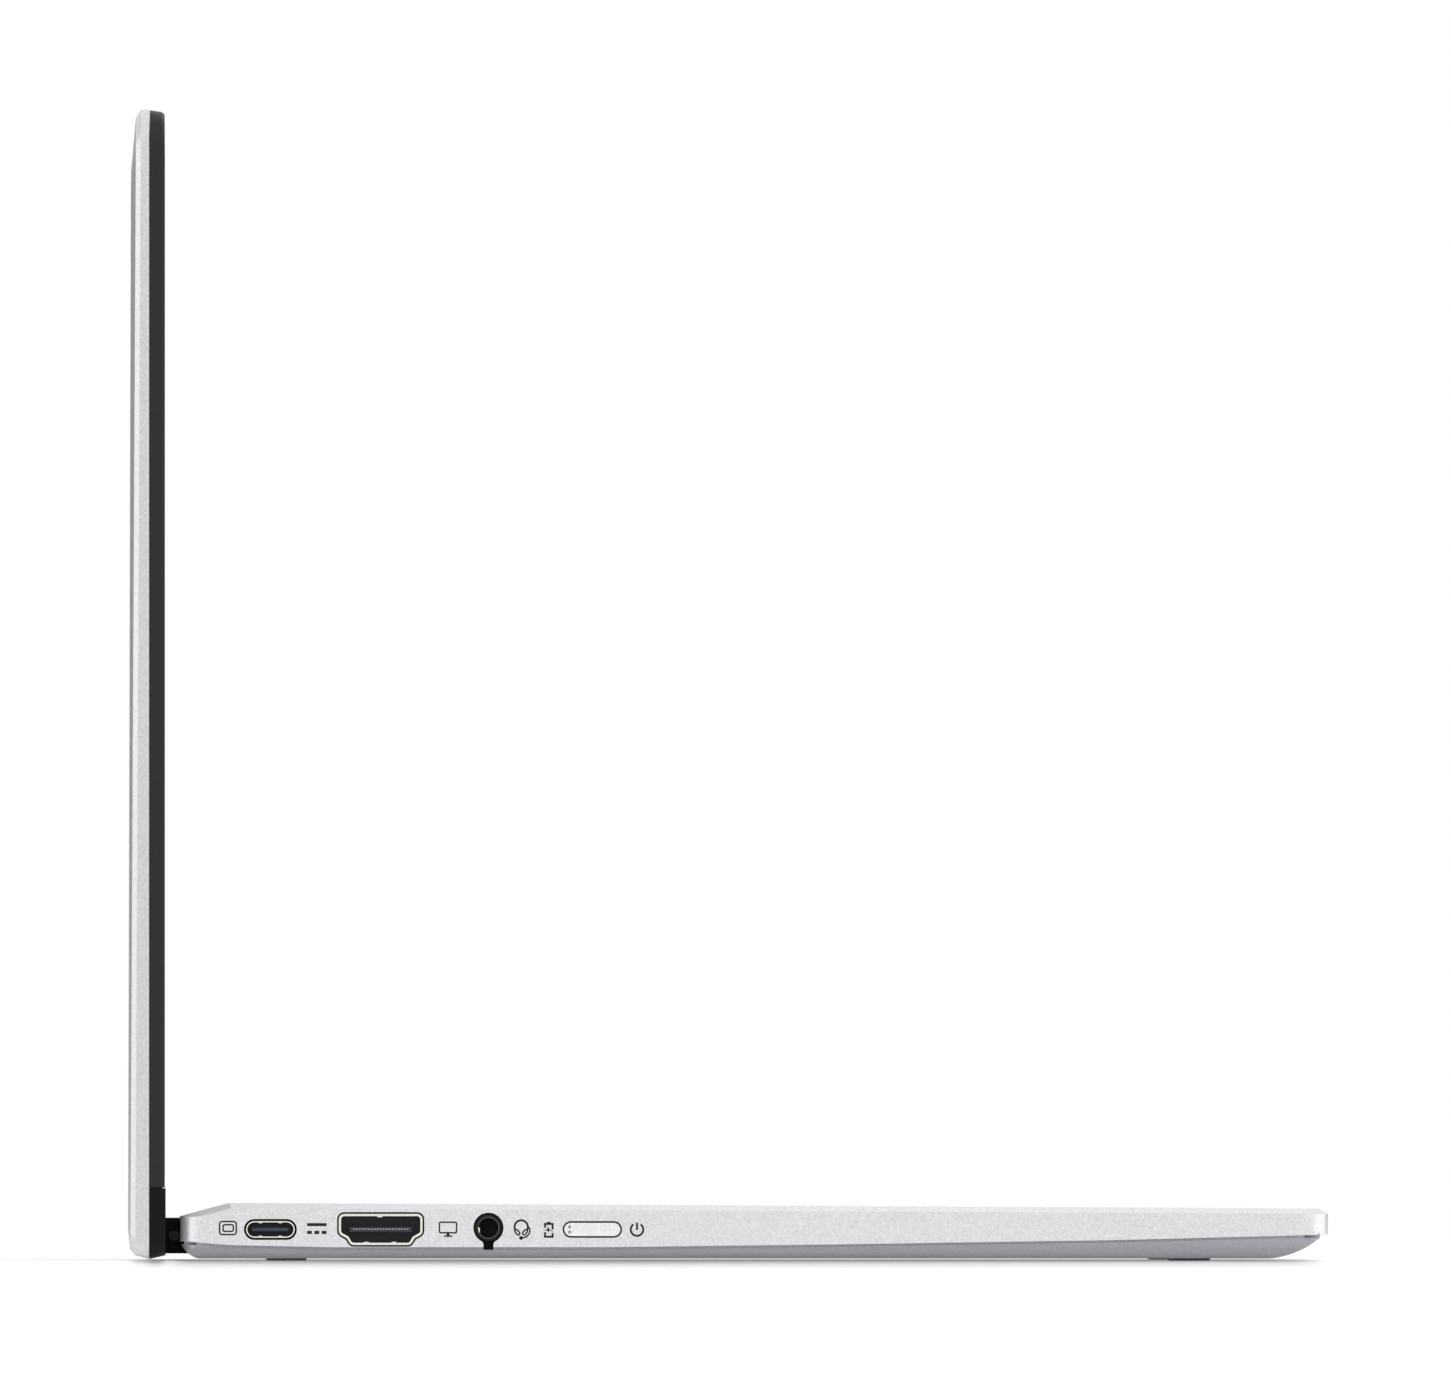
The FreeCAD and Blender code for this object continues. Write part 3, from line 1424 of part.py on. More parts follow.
keep("base_top_cover", [base_top_cover()])
keep("base_bottom_cover", [joined([base_bottom_cover()] + board_rests())])
keep("rubber_feet", [foot_block(place, 0.0, under_z + foot_pocket) for place in foot_places()])
keep("bottom_screws", [screw_solid(x, y, under_z, screw_length) for x, y in both_sides(post_places)])
keep("keyboard_plate", [keyboard_plate()])
keep("key_domes", key_domes())
for row_name in key_rows:
    keep(row_name, [keycap(place) for place in key_places(row_name)])
keep("keyboard_cable", [keyboard_cable()])
keep("touchpad_plate", [touchpad_plate()])
keep("touchpad_frame", [touchpad_frame()])
keep("touchpad_switch", [touchpad_switch()])
keep("touchpad_cable", [touchpad_cable()])
keep("usb_c_shell_left", [usb_c_shell(-1)])
keep("usb_c_shell_right", [usb_c_shell(1)])
keep("usb_c_tongues", [usb_c_tongue(side) for side in (-1, 1)])
keep("video_socket_shell", [video_socket_shell()])
keep("video_socket_tongue", [video_socket_tongue()])
keep("headset_jack_barrel", [headset_jack_barrel()])
keep("headset_jack_contact", [jack_contact_slot()])
keep("usb_a_shell_right", [usb_a_shell()])
keep("usb_a_tongue_right", [usb_a_tongue()])
keep("power_button", [power_button()])
keep("power_button_light", power_button_lights())
keep("power_switch_board", [power_switch_board()])
keep("volume_rocker", [volume_rocker()])
keep("volume_switches", volume_switches())
keep("mainboard", [mainboard()])
keep("mainboard_chips", mainboard_chips())
keep("heat_spreader", [heat_spreader()])
keep("wifi_card", [wifi_card()])
keep("io_board_right", [io_board_right()])
keep("io_cable", [io_cable()])
keep("battery_tray", [battery_tray()])
keep("battery_cells", battery_cells())
keep("speaker_left", [speaker(-1)])
keep("speaker_right", [speaker(1)])
keep("base_hinge_bracket_left", [base_hinge_bracket(-1)])
keep("base_hinge_bracket_right", [base_hinge_bracket(1)])
keep("base_hinge_pins", hinge_pins(base_axis_y))
keep("base_hinge_screws", base_hinge_screws())
keep("hinge_link_left", [hinge_link(-1)])
keep("hinge_link_right", [hinge_link(1)])
keep("link_screws", [link_screw(), mirrored(link_screw())])
keep("lid_back_cover", [lid_back_cover()])
keep("lid_bezel", [lid_bezel()])
keep("lid_chin_strip", [lid_chin_strip()])
keep("display_glass", [display_glass()])
keep("lcd_panel", [lcd_panel()])
keep("webcam_module", [camera_block(0.0)])
keep("webcam_lens", [webcam_lens()])
keep("display_cable", [display_cable()])
keep("lid_hinge_bracket_left", [lid_hinge_bracket(-1)])
keep("lid_hinge_bracket_right", [lid_hinge_bracket(1)])
keep("lid_hinge_pins", hinge_pins(lid_axis_y))
keep("lid_hinge_screws", lid_hinge_screws())

os.makedirs("parts", exist_ok=True)
for node_name, node_shape in nodes.items():
    node_shape.exportStep("parts/" + node_name + ".step")
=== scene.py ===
import json
import math

import bmesh
import bpy
from mathutils import Matrix, Vector


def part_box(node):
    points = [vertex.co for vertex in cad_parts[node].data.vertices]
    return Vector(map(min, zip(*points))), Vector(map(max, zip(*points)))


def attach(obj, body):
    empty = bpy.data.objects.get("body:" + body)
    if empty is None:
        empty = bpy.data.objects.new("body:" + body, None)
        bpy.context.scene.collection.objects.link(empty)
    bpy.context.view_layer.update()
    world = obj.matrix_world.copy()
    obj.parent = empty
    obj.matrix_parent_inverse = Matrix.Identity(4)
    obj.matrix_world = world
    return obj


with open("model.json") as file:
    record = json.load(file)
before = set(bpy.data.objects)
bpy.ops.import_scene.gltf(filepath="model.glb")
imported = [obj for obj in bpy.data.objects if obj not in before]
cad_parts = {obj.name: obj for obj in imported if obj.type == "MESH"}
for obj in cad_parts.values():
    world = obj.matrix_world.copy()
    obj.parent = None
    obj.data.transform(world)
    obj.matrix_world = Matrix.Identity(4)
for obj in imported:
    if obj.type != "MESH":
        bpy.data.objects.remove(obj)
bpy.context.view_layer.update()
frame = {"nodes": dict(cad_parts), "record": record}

# The looks of a convertible laptop computer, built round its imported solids.
# Sizes and places are millimetres in the part's own frame: the user sits at -Y, the seen side is at -X.
MM = 0.001


def node_box(node):
    """The lowest and the highest corner of a node of the solid model."""
    low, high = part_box(node)
    return low / MM, high / MM


def node_middle(node):
    low, high = node_box(node)
    return (low + high) / 2


# Places taken from the solid model
wall_x = node_box("base_top_cover")[1].x
shell_mouth_x = node_box("usb_c_shell_right")[1].x
small_socket = node_middle("usb_c_shell_right")
large_socket = node_middle("usb_a_shell_right")
video_socket = node_middle("video_socket_shell")
headset_jack = node_middle("headset_jack_barrel")
bezel_low, bezel_high = node_box("lid_bezel")
chin_top_z = node_box("lid_chin_strip")[1].z
glass_low, glass_high = node_box("display_glass")
webcam_z = node_middle("webcam_lens").z
key_rows_left = node_box("keys_function_row")[0].x

# Photograph: the side view is flat, with the eye level with the deck and in line with the screen
image_centre_y = 0.514
image_centre_z = 102.93
image_width = 261.9
eye_y = 100.0
eye_z = 11.0
lens_length = 1500.0
sensor_width = 36.0

# Painted shade on the shell's silver: a box that starts just behind the outer walls, in which the colour is
# painted near black to darken the cut sides of the openings
painted_shade_inset = 0.2
painted_shade_length = 184.0
painted_shade_height = 8.6
painted_shade_middle_z = 4.0

# Parting line between the covers: (Y, Z) along the flat of a side wall and round its two ends
parting_side = [(96.0, 3.1), (89.95, 2.6), (71.95, 2.23), (22.95, 2.23),
                (-20.05, 2.74), (-70.05, 3.52), (-104.0, 4.4)]
parting_front = [(-101.0, 4.32), (-106.8, 4.47)]
parting_rear = [(98.2, 3.29), (93.0, 2.85)]
lip_side_x = 154.65
lip_front_x = 153.3
lip_rear_x = 152.7
lip_thickness = 0.2
lip_height = 0.9

# Seal between the bezel and the chin strip
seal_overlap = 0.1
seal_end_inset = 0.7
seal_front_inset = 0.45
seal_back_inset = 0.05
seal_rounding = 0.05

# Sockets: places are (across, up, width, height) from a socket's middle, depths are behind the shells' mouths
# The socket steel turns from bright to painted shade between these two depths behind the mouths
rim_depths = (0.25, 0.1)
# Recess, thickness and sizes of the black rings of painted shade that lie in the gaps round the shells
gap_recess = 0.02
gap_thickness = 0.03
contact_rounding = 0.04
video_corners = [(-7.15, 2.4), (-7.15, -0.55), (-5.8, -1.3), (-5.15, -2.4),
                 (5.15, -2.4), (5.8, -1.3), (7.15, -0.55), (7.15, 2.4)]
video_gap_growth = 0.55
video_gap_rounding = 0.9
video_gap_width = 0.26
video_contact_depths = (0.95, 0.7)
video_springs = [(0.15, 2.3, 0.9, 0.24), (2.6, -2.33, 0.9, 0.2), (-2.4, -2.33, 0.9, 0.2)]
small_gap_size = (9.14, 3.36)
small_gap_rounding = 1.66
small_gap_width = 0.36
small_tongue = [(0, 0, 6.3, 0.66)]
small_tongue_depths = (1.05, 0.8)
small_contact_depths = (0.95, 0.75)
small_springs = [(across, up, 0.66, 0.2) for across in (-1.8, 1.8) for up in (-1.22, 1.22)]
spring_depths = (1.45, 0.05)
large_contacts = [(across, 0.14, 1.0, 0.3) for across in (-3.5, -1.0, 1.0, 3.5)]
large_contact_depths = (7.65, 1.15)
large_springs = [(across, up, 1.9, 0.3) for across in (-3.1, 3.1) for up in (-2.5, 2.5)]
large_spring_depths = (4.65, 0.25)
collar_profile = [(0.05, 1.78), (-0.07, 1.84), (-0.11, 1.93), (-0.07, 2.02), (0.05, 2.06)]
# The jack's slot is closed at its back by a black plate of painted shade
jack_slot = [(0, -3.3, 1.76, 1.5)]
jack_slot_depths = (0.35, -0.07)
jack_tip = [(1.72, -0.42, 0.34, 0.95)]
jack_tip_depths = (0.45, -0.05)

# Printed signs: the middle of each one on its wall (Y, Z), on the seen side as in the photograph
left_sign_places = {
    "twin_screen": (90.32, 5.9), "direct_current": (74.28, 5.77), "monitor": (50.6, 5.65),
    "headset": (37.39, 6.1), "battery": (32.41, 5.55), "power": (16.49, 5.63)}
right_sign_places = {
    "twin_screen": (90.32, 5.9), "padlock": (67.95, 5.6), "louder": (44.2, 5.65), "quieter": (17.8, 5.65)}
ink_thickness = 0.03
sign_line = 0.36
thin_sign_line = 0.27

# Keyboard: rows of (legend, width in units), on the sloping deck and at the pitch of the solid model's keys
deck_rise = math.radians(0.29113)
deck_origin_z = 9.943
key_unit = 18.6
key_row_pitch = 18.4
function_row_share = 0.56
keyboard_rear = 83.45
key_top_drop = 0.3
key_gap_x = 3.0
key_gap_y = 3.2
key_rows = {
    "keys_function_row": [(name, 1) for name in
                          ["Esc"] + [f"F{number}" for number in range(1, 13)] + ["Ins", "Del"]],
    "keys_number_row": [(name, 1) for name in "`1234567890-="] + [("Back", 2)],
    "keys_top_letter_row": [("Tab", 1.5)] + [(name, 1) for name in "QWERTYUIOP[]"] + [("\\", 1.5)],
    "keys_home_row": [("Caps", 1.75)] + [(name, 1) for name in "ASDFGHJKL;'"] + [("Enter", 2.25)],
    "keys_bottom_letter_row": [("Shift", 2.25)] + [(name, 1) for name in "ZXCVBNM,./"] + [("Shift", 2.75)],
    "keys_space_row": [("Ctrl", 1.25), ("Fn", 1), ("menu", 1), ("Alt", 1.25), ("", 5.5), ("Alt", 1),
                       ("Ctrl", 1), ("left", 1), ("up_down", 1), ("right", 1)],
}
shifted_signs = dict(zip("`1234567890-=[]\\;',./", "~!@#$%^&*()_+{}|:\"<>?"))

# Legends: heights, places as shares of a key's depth from its rear edge, and the bumps on two keys
font_size_share = 1.42
letter_height = 3.3
word_height = 2.3
function_height = 1.9
legend_inset = 2.2
letter_share = 0.36
shifted_share = 0.32
plain_share = 0.7
word_share = 0.68
function_share = 0.5
arrow_size = 1.3
paired_arrow_size = 1.2
paired_arrow_shares = (0.24, 0.76)
menu_ring = 3.2
menu_line = 0.35
legend_thickness = 0.02
bump_keys = ("F", "J")
bump_from_edge = 2.4
bump_length = 3.2
bump_width = 0.5
bump_sink = 0.2
bump_rise = 0.18
bump_rounding = 0.15

# Display and webcam
picture_width = 294.8
picture_height = 172.8
picture_depth = 4.0
picture_middle_z = 108.0
iris_radius = 0.8
iris_gap = 0.022
ring_radius = 1.95
ring_width = 0.5
light_x = 6.5
light_radius = 0.5
microphone_x = 32.0
microphone_radius = 0.45
mark_sink = 0.003
mark_thickness = 0.015

# Studio: a white floor that falls away gently on both sides, so its shadow shows from level with it
floor_top = -0.02
floor_edge_x = 150.0
floor_fall = 0.25
floor_fall_length = 500.0
floor_reach = 1600.0
floor_albedo = 0.95
floor_glow = 0.24
floor_white_start = 260.0
floor_white_end = 420.0
ambient_light = 0.42


# Material building blocks

def grey(level):
    """A linear grey from a display level of 0 to 255."""
    return display_colour(level, level, level)


def display_colour(red, green, blue):
    """A linear colour from display levels of 0 to 255."""
    linear = []
    for level in (red, green, blue):
        share = level / 255
        linear.append(share / 12.92 if share <= 0.04045 else ((share + 0.055) / 1.055) ** 2.4)
    return (*linear, 1.0)


def scaled(colour, factor):
    return (colour[0] * factor, colour[1] * factor, colour[2] * factor, 1.0)


class Finish:
    """A material with one Principled shader, and short ways to add procedural detail to it."""

    def __init__(self, name, **values):
        self.material = bpy.data.materials.new(name)
        self.material.use_nodes = True
        self.tree = self.material.node_tree
        self.shader = self.tree.nodes["Principled BSDF"]
        self.place = self.tree.nodes.new("ShaderNodeTexCoord").outputs["Object"]
        for socket, value in values.items():
            self.shader.inputs[socket.replace("_", " ").title().replace("Ior", "IOR")].default_value = value

    def node(self, kind, inputs=None, **settings):
        made = self.tree.nodes.new(kind)
        for name, value in settings.items():
            setattr(made, name, value)
        for socket, value in (inputs or {}).items():
            if isinstance(value, bpy.types.NodeSocket):
                self.tree.links.new(value, made.inputs[socket])
            else:
                made.inputs[socket].default_value = value
        return made

    def stretched(self, stretch):
        return self.node("ShaderNodeMapping", {"Vector": self.place, "Scale": stretch}).outputs["Vector"]

    def noise(self, size, detail=2.0, stretch=None):
        """Soft noise from 0 to 1 with features about size millimetres wide."""
        place = self.stretched(stretch) if stretch else self.place
        return self.node("ShaderNodeTexNoise", {
            "Vector": place, "Scale": 1 / (size * MM), "Detail": detail}).outputs["Fac"]

    def flakes(self, size):
        """One random value per small cell."""
        cells = self.node("ShaderNodeTexVoronoi", {"Vector": self.place, "Scale": 1 / (size * MM)})
        return self.node("ShaderNodeSeparateColor", {"Color": cells.outputs["Color"]}).outputs["Red"]

    def between(self, value, low, high, source_low=0.3, source_high=0.7):
        """A value mapped so that its usual spread runs from low to high."""
        return self.node("ShaderNodeMapRange", {
            "Value": value, "From Min": source_low, "From Max": source_high,
            "To Min": low, "To Max": high}).outputs["Result"]

    def mix(self, share, first, second):
        return self.node("ShaderNodeMix", {0: share, 6: first, 7: second}, data_type="RGBA").outputs[2]

    def measure(self, operation, first, second):
        return self.node("ShaderNodeMath", {0: first, 1: second}, operation=operation).outputs["Value"]

    def vector_measure(self, operation, first, second=(0.0, 0.0, 0.0)):
        return self.node("ShaderNodeVectorMath", {0: first, 1: second}, operation=operation).outputs["Vector"]

    def outward(self, start, end):
        """0 up to one distance from the middle plane, 1 from another one on."""
        across = self.node("ShaderNodeSeparateXYZ", {"Vector": self.place}).outputs["X"]
        distance = self.measure("ABSOLUTE", across, 0.0)
        return self.between(distance, 0.0, 1.0, start * MM, end * MM)

    def within(self, centre, size):
        """1 inside a box with a centre and a size, 0 outside it."""
        offset = self.vector_measure("SUBTRACT", self.place, Vector(centre) * MM)
        reach = self.vector_measure("ABSOLUTE", offset)
        beyond = self.vector_measure("SUBTRACT", reach, Vector(size) / 2 * MM)
        axes = self.node("ShaderNodeSeparateXYZ", {"Vector": beyond}).outputs
        most = self.measure("MAXIMUM", self.measure("MAXIMUM", axes["X"], axes["Y"]), axes["Z"])
        return self.measure("LESS_THAN", most, 0.0)

    def feed(self, socket, value):
        self.tree.links.new(value, self.shader.inputs[socket])

    def mottle(self, colour, size, spread, detail=2.0, stretch=None):
        """The colour, lighter and darker by a share in patches of a size."""
        share = self.between(self.noise(size, detail, stretch), 0.0, 1.0)
        return self.mix(share, scaled(colour, 1 - spread), scaled(colour, 1 + spread))

    def rough(self, low, high, size, stretch=None):
        self.feed("Roughness", self.between(self.noise(size, 2.0, stretch), low, high))

    def relief(self, height, depth, edge=0.0):
        """A bump of a depth in millimetres, over edges softened by a radius in millimetres."""
        bump = self.node("ShaderNodeBump", {"Height": height, "Distance": depth * MM, "Strength": 1.0})
        if edge:
            rounding = self.node("ShaderNodeBevel", {"Radius": edge * MM}, samples=4)
            self.tree.links.new(rounding.outputs["Normal"], bump.inputs["Normal"])
        self.feed("Normal", bump.outputs["Normal"])


def silver_paint(name, colour, metallic, edge, painted_shade_region=None):
    """Metallic paint: a cloudy base, a fine mottle and a few bright flakes.

    Inside a given box the colour is painted near black and not metallic: painted shade on the cut sides of
    the openings.
    """
    finish = Finish(name, specular_ior_level=0.5)
    ground = finish.mottle(colour, 0.4, 0.12)
    cloud = finish.between(finish.noise(45.0), 0.0, 1.0)
    ground = finish.mix(cloud, ground, finish.mottle(scaled(colour, 1.03), 0.6, 0.1))
    bright = finish.between(finish.flakes(0.22), 0.0, 0.5, 0.9, 1.0)
    paint = finish.mix(bright, ground, scaled(colour, 1.25))
    if painted_shade_region:
        # Painted shade: inside the box the colour turns near black and stops being metallic
        painted_shade_share = finish.within(*painted_shade_region)
        finish.feed("Base Color", finish.mix(painted_shade_share, paint, grey(14)))
        finish.feed("Metallic", finish.between(painted_shade_share, metallic, 0.0, 0.0, 1.0))
    else:
        finish.feed("Base Color", paint)
        finish.shader.inputs["Metallic"].default_value = metallic
    finish.rough(0.33, 0.43, 0.6)
    finish.relief(finish.noise(0.25, 3.0), 0.004, edge)
    return finish.material


def moulded(name, colour, rough_low, rough_high, grain=0.3, depth=0.006, edge=0.08, spread=0.12, gloss=0.45):
    """Moulded plastic or paint with a fine grain."""
    finish = Finish(name, specular_ior_level=gloss)
    finish.feed("Base Color", finish.mottle(colour, grain * 2, spread, 3.0))
    finish.rough(rough_low, rough_high, grain * 6)
    finish.relief(finish.noise(grain, 3.0), depth, edge)
    return finish.material


def drawn_metal(name, colour, rough_low, rough_high, stretch, grain=0.25, edge=0.06):
    """Bare metal with fine lines along one direction."""
    finish = Finish(name, metallic=1.0)
    finish.feed("Base Color", finish.mottle(colour, grain, 0.08, 3.0, stretch))
    finish.rough(rough_low, rough_high, grain, stretch)
    finish.relief(finish.noise(grain, 3.0, stretch), 0.003, edge)
    return finish.material


def socket_metal_with_painted_shade(name, colour, inside, rim_start, rim_end):
    """Steel that is bright at the mouth of a socket, with painted shade behind its rim: there its colour
    turns to the dark inside colour.
    """
    finish = Finish(name)
    rim = finish.outward(rim_start, rim_end)
    steel = finish.mottle(colour, 0.25, 0.08, 3.0, along_x)
    # Painted shade: behind the rim the colour turns to the dark inside colour
    finish.feed("Base Color", finish.mix(rim, inside, steel))
    finish.feed("Metallic", finish.between(rim, 0.2, 1.0, 0.0, 1.0))
    finish.rough(0.25, 0.38, 0.25, along_x)
    finish.relief(finish.noise(0.25, 3.0, along_x), 0.003, 0.06)
    return finish.material


def clear_glass(name, colour, rough_low, rough_high):
    finish = Finish(name, base_color=colour, transmission_weight=1.0, ior=1.5)
    finish.rough(rough_low, rough_high, 22.0)
    return finish.material


def black_glass(name, border, picture, picture_box):
    """Polished glass over a display that is off: the picture is a little lighter than its black border."""
    finish = Finish(name, specular_ior_level=0.5)
    inside = finish.within(*picture_box)
    finish.feed("Base Color", finish.mix(inside, finish.mottle(border, 30.0, 0.06),
                                         finish.mottle(picture, 30.0, 0.06)))
    finish.rough(0.03, 0.06, 22.0)
    return finish.material


# Finishes by material slot, and finishes of single nodes
along_x = (0.06, 1.0, 1.0)
all_ways = (1.0, 1.0, 1.0)
# The box in which the silver is painted near black as shade
painted_shade_box = ((0.0, 0.0, painted_shade_middle_z), (2 * (wall_x - painted_shade_inset), painted_shade_length, painted_shade_height))
# Depths at which the socket steel turns to painted shade
socket_rim = [shell_mouth_x - depth for depth in rim_depths]
picture_box = ((0.0, glass_low.y, picture_middle_z), (picture_width, picture_depth, picture_height))
finishes = {
    # The shell's silver has painted shade on the cut sides of its openings
    "silver_shell": silver_paint("silver_shell", display_colour(224, 224, 226), 0.5, 0.2, painted_shade_box),
    "silver_under": silver_paint("silver_under", display_colour(161, 159, 167), 0.35, 0.12),
    "black_frame": moulded("black_frame", display_colour(30, 30, 34), 0.36, 0.48, gloss=0.3),
    "black_link": moulded("black_link", display_colour(12, 12, 13), 0.32, 0.42, grain=0.4, gloss=0.1),
    "key_plastic": moulded("key_plastic", display_colour(46, 46, 49), 0.44, 0.56, grain=0.25, edge=0.18),
    "screen_glass": black_glass("screen_glass", grey(8), display_colour(20, 20, 23), picture_box),
    "lens_glass": clear_glass("lens_glass", display_colour(180, 190, 235), 0.02, 0.04),
    "panel_stack": moulded("panel_stack", display_colour(15, 15, 18), 0.3, 0.34, grain=2.0, depth=0.0005,
                           edge=0.0, spread=0.04, gloss=0.15),
    "touch_surface": moulded("touch_surface", display_colour(190, 190, 193), 0.28, 0.36, grain=0.3,
                             depth=0.002, edge=0.1, spread=0.03),
    # The socket steel has painted shade behind its rim
    "socket_steel": socket_metal_with_painted_shade("socket_steel", display_colour(236, 233, 222), display_colour(50, 54, 62),
                                 *socket_rim),
    "socket_plastic": moulded("socket_plastic", display_colour(46, 47, 52), 0.4, 0.5),
    "contact_gold": drawn_metal("contact_gold", display_colour(233, 200, 142), 0.2, 0.3, along_x),
    "screw_steel": drawn_metal("screw_steel", display_colour(150, 149, 150), 0.28, 0.4, all_ways),
    "bracket_steel": drawn_metal("bracket_steel", display_colour(176, 176, 178), 0.28, 0.4, along_x),
    "dome_rubber": moulded("dome_rubber", display_colour(196, 196, 190), 0.55, 0.7),
    "foot_rubber": moulded("foot_rubber", display_colour(204, 204, 207), 0.7, 0.85, grain=0.5, depth=0.02),
    "board_laminate": moulded("board_laminate", display_colour(22, 66, 50), 0.35, 0.5, spread=0.3),
    "chip_black": moulded("chip_black", display_colour(40, 40, 42), 0.5, 0.62),
    "spreader_copper": drawn_metal("spreader_copper", display_colour(214, 140, 105), 0.25, 0.38, along_x),
    "cell_foil": moulded("cell_foil", display_colour(168, 170, 174), 0.3, 0.45, grain=3.0, depth=0.05),
    "tray_plastic": moulded("tray_plastic", display_colour(48, 48, 52), 0.45, 0.58),
    "flex_cable": moulded("flex_cable", display_colour(196, 150, 78), 0.35, 0.45),
    "light_guide": moulded("light_guide", display_colour(150, 152, 156), 0.3, 0.4),
}

own_finishes = {
    "lid_chin_strip": moulded("chin_black", display_colour(16, 16, 18), 0.36, 0.48, gloss=0.12),
    "link_screws": drawn_metal("black_screw", display_colour(58, 58, 62), 0.3, 0.42, all_ways),
    # The button's silver also has painted shade inside the box
    "power_button": silver_paint("button_silver", display_colour(238, 238, 240), 0.5, 0.2, painted_shade_box),
    "headset_jack_barrel": moulded("jack_plastic", display_colour(20, 20, 22), 0.3, 0.4, gloss=0.2),
    "lid_back_cover": silver_paint("lid_silver", display_colour(212, 212, 214), 0.5, 0.2),
}

# Finish of every node of the solid model
for part in frame["record"]["subparts"]:
    shown = frame["nodes"][part["node"]]
    shown.data.materials.clear()
    shown.data.materials.append(own_finishes.get(part["node"], finishes[part["material_slot"]]))


# Flat shapes: strokes and filled outlines drawn on a plane, given a small thickness

def arc(centre, radius, start, end, steps=24):
    """Points along an arc, from a start angle to an end angle in degrees."""
    points = []
    for step in range(steps + 1):
        turn = math.radians(start + (end - start) * step / steps)
        points.append((centre[0] + radius * math.cos(turn), centre[1] + radius * math.sin(turn)))
    return points


def rounded_rectangle(centre, width, height, radius, steps=5):
    """The closed outline of a rectangle with round corners, counter-clockwise."""
    points = []
    for turn, side_x, side_y in ((0, 1, 1), (90, -1, 1), (180, -1, -1), (270, 1, -1)):
        corner = (centre[0] + side_x * (width / 2 - radius), centre[1] + side_y * (height / 2 - radius))
        points.extend(arc(corner, radius, turn, turn + 90, steps))
    return points


def capsule(centre, length, width, angle, steps=6):
    """The closed outline of a slot with round ends, turned by an angle in degrees."""
    turn = Matrix.Rotation(math.radians(angle), 2)
    outline = []
    for point in rounded_rectangle((0, 0), length, width, width / 2 * 0.999, steps):
        turned = turn @ Vector(point)
        outline.append((centre[0] + turned.x, centre[1] + turned.y))
    return outline


def stroke(points, width, closed=False):
    """Four-sided faces that follow a line at a width, with mitred corners."""
    line = [Vector(point) for point in points]
    count = len(line)
    edges = []
    for index, point in enumerate(line):
        before = line[index - 1] if closed or index else None
        after = line[(index + 1) % count] if closed or index < count - 1 else None
        runs = []
        if before is not None:
            runs.append((point - before).normalized())
        if after is not None:
            runs.append((after - point).normalized())
        along = sum(runs, Vector((0, 0))).normalized()
        across = Vector((-along.y, along.x))
        reach = width / 2 / max(0.5, abs(across.dot(Vector((-runs[0].y, runs[0].x)))))
        edges.append((point + across * reach, point - across * reach))
    faces = []
    for index in range(count if closed else count - 1):
        first, second = edges[index], edges[(index + 1) % count]
        faces.append([first[1], second[1], second[0], first[0]])
    return faces


def grown(corners, distance):
    """A closed counter-clockwise outline with straight sides, moved outwards by a distance."""
    outline = []
    for index, corner in enumerate(corners):
        before = (Vector(corner) - Vector(corners[index - 1])).normalized()
        after = (Vector(corners[(index + 1) % len(corners)]) - Vector(corner)).normalized()
        normals = Vector((before.y, -before.x)), Vector((after.y, -after.x))
        mitre = (normals[0] + normals[1]) / (1 + normals[0].dot(normals[1]))
        outline.append(Vector(corner) + mitre * distance)
    return outline


def rounded_corners(corners, radius, steps=5):
    """A closed outline whose corners are rounded by a radius."""
    outline = []
    for index, corner in enumerate(corners):
        middle = Vector(corner)
        before = (Vector(corners[index - 1]) - middle).normalized()
        after = (Vector(corners[(index + 1) % len(corners)]) - middle).normalized()
        reach = radius / math.tan(before.angle(after) / 2)
        start, end = middle + before * reach, middle + after * reach
        for step in range(steps + 1):
            share = step / steps
            outline.append(start * (1 - share) ** 2 + middle * 2 * share * (1 - share) + end * share ** 2)
    return outline


def disc(centre, radius):
    return arc(centre, radius, 0, 360, 32)[:-1]


def moved(faces, across, up):
    """Faces drawn round zero, moved to a place on their plane."""
    return [[(point[0] + across, point[1] + up) for point in face] for face in faces]


def plane(origin, right, up):
    """The frame of a flat surface: where it is, its right and its up; its third axis points outwards."""
    right, up = Vector(right), Vector(up)
    out = right.cross(up)
    matrix = Matrix((right, up, out)).transposed().to_4x4()
    matrix.translation = Vector(origin)
    return matrix


def side_plane(side, x):
    """An upright plane that faces left (side -1) or right (side 1), at a distance from the middle."""
    return plane((side * x, 0, 0), (0, side, 0), (0, 0, 1))


def user_plane(y):
    """An upright plane that faces the user."""
    return plane((0, y, 0), (1, 0, 0), (0, 0, 1))


# Pieces: meshes drawn in millimetres and objects that move with the bodies

def finished_mesh(name, shape, where=Matrix()):
    """The mesh of a shape that was drawn at zero, put in its place and turned to metres."""
    bmesh.ops.transform(shape, matrix=Matrix.Scale(MM, 4) @ where, verts=shape.verts)
    mesh = bpy.data.meshes.new(name)
    shape.to_mesh(mesh)
    shape.free()
    return mesh


def add_piece(name, mesh, material, body):
    """An object of the dressed model that moves with a body."""
    mesh.materials.append(material)
    piece = bpy.data.objects.new(name, mesh)
    bpy.context.scene.collection.objects.link(piece)
    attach(piece, body)


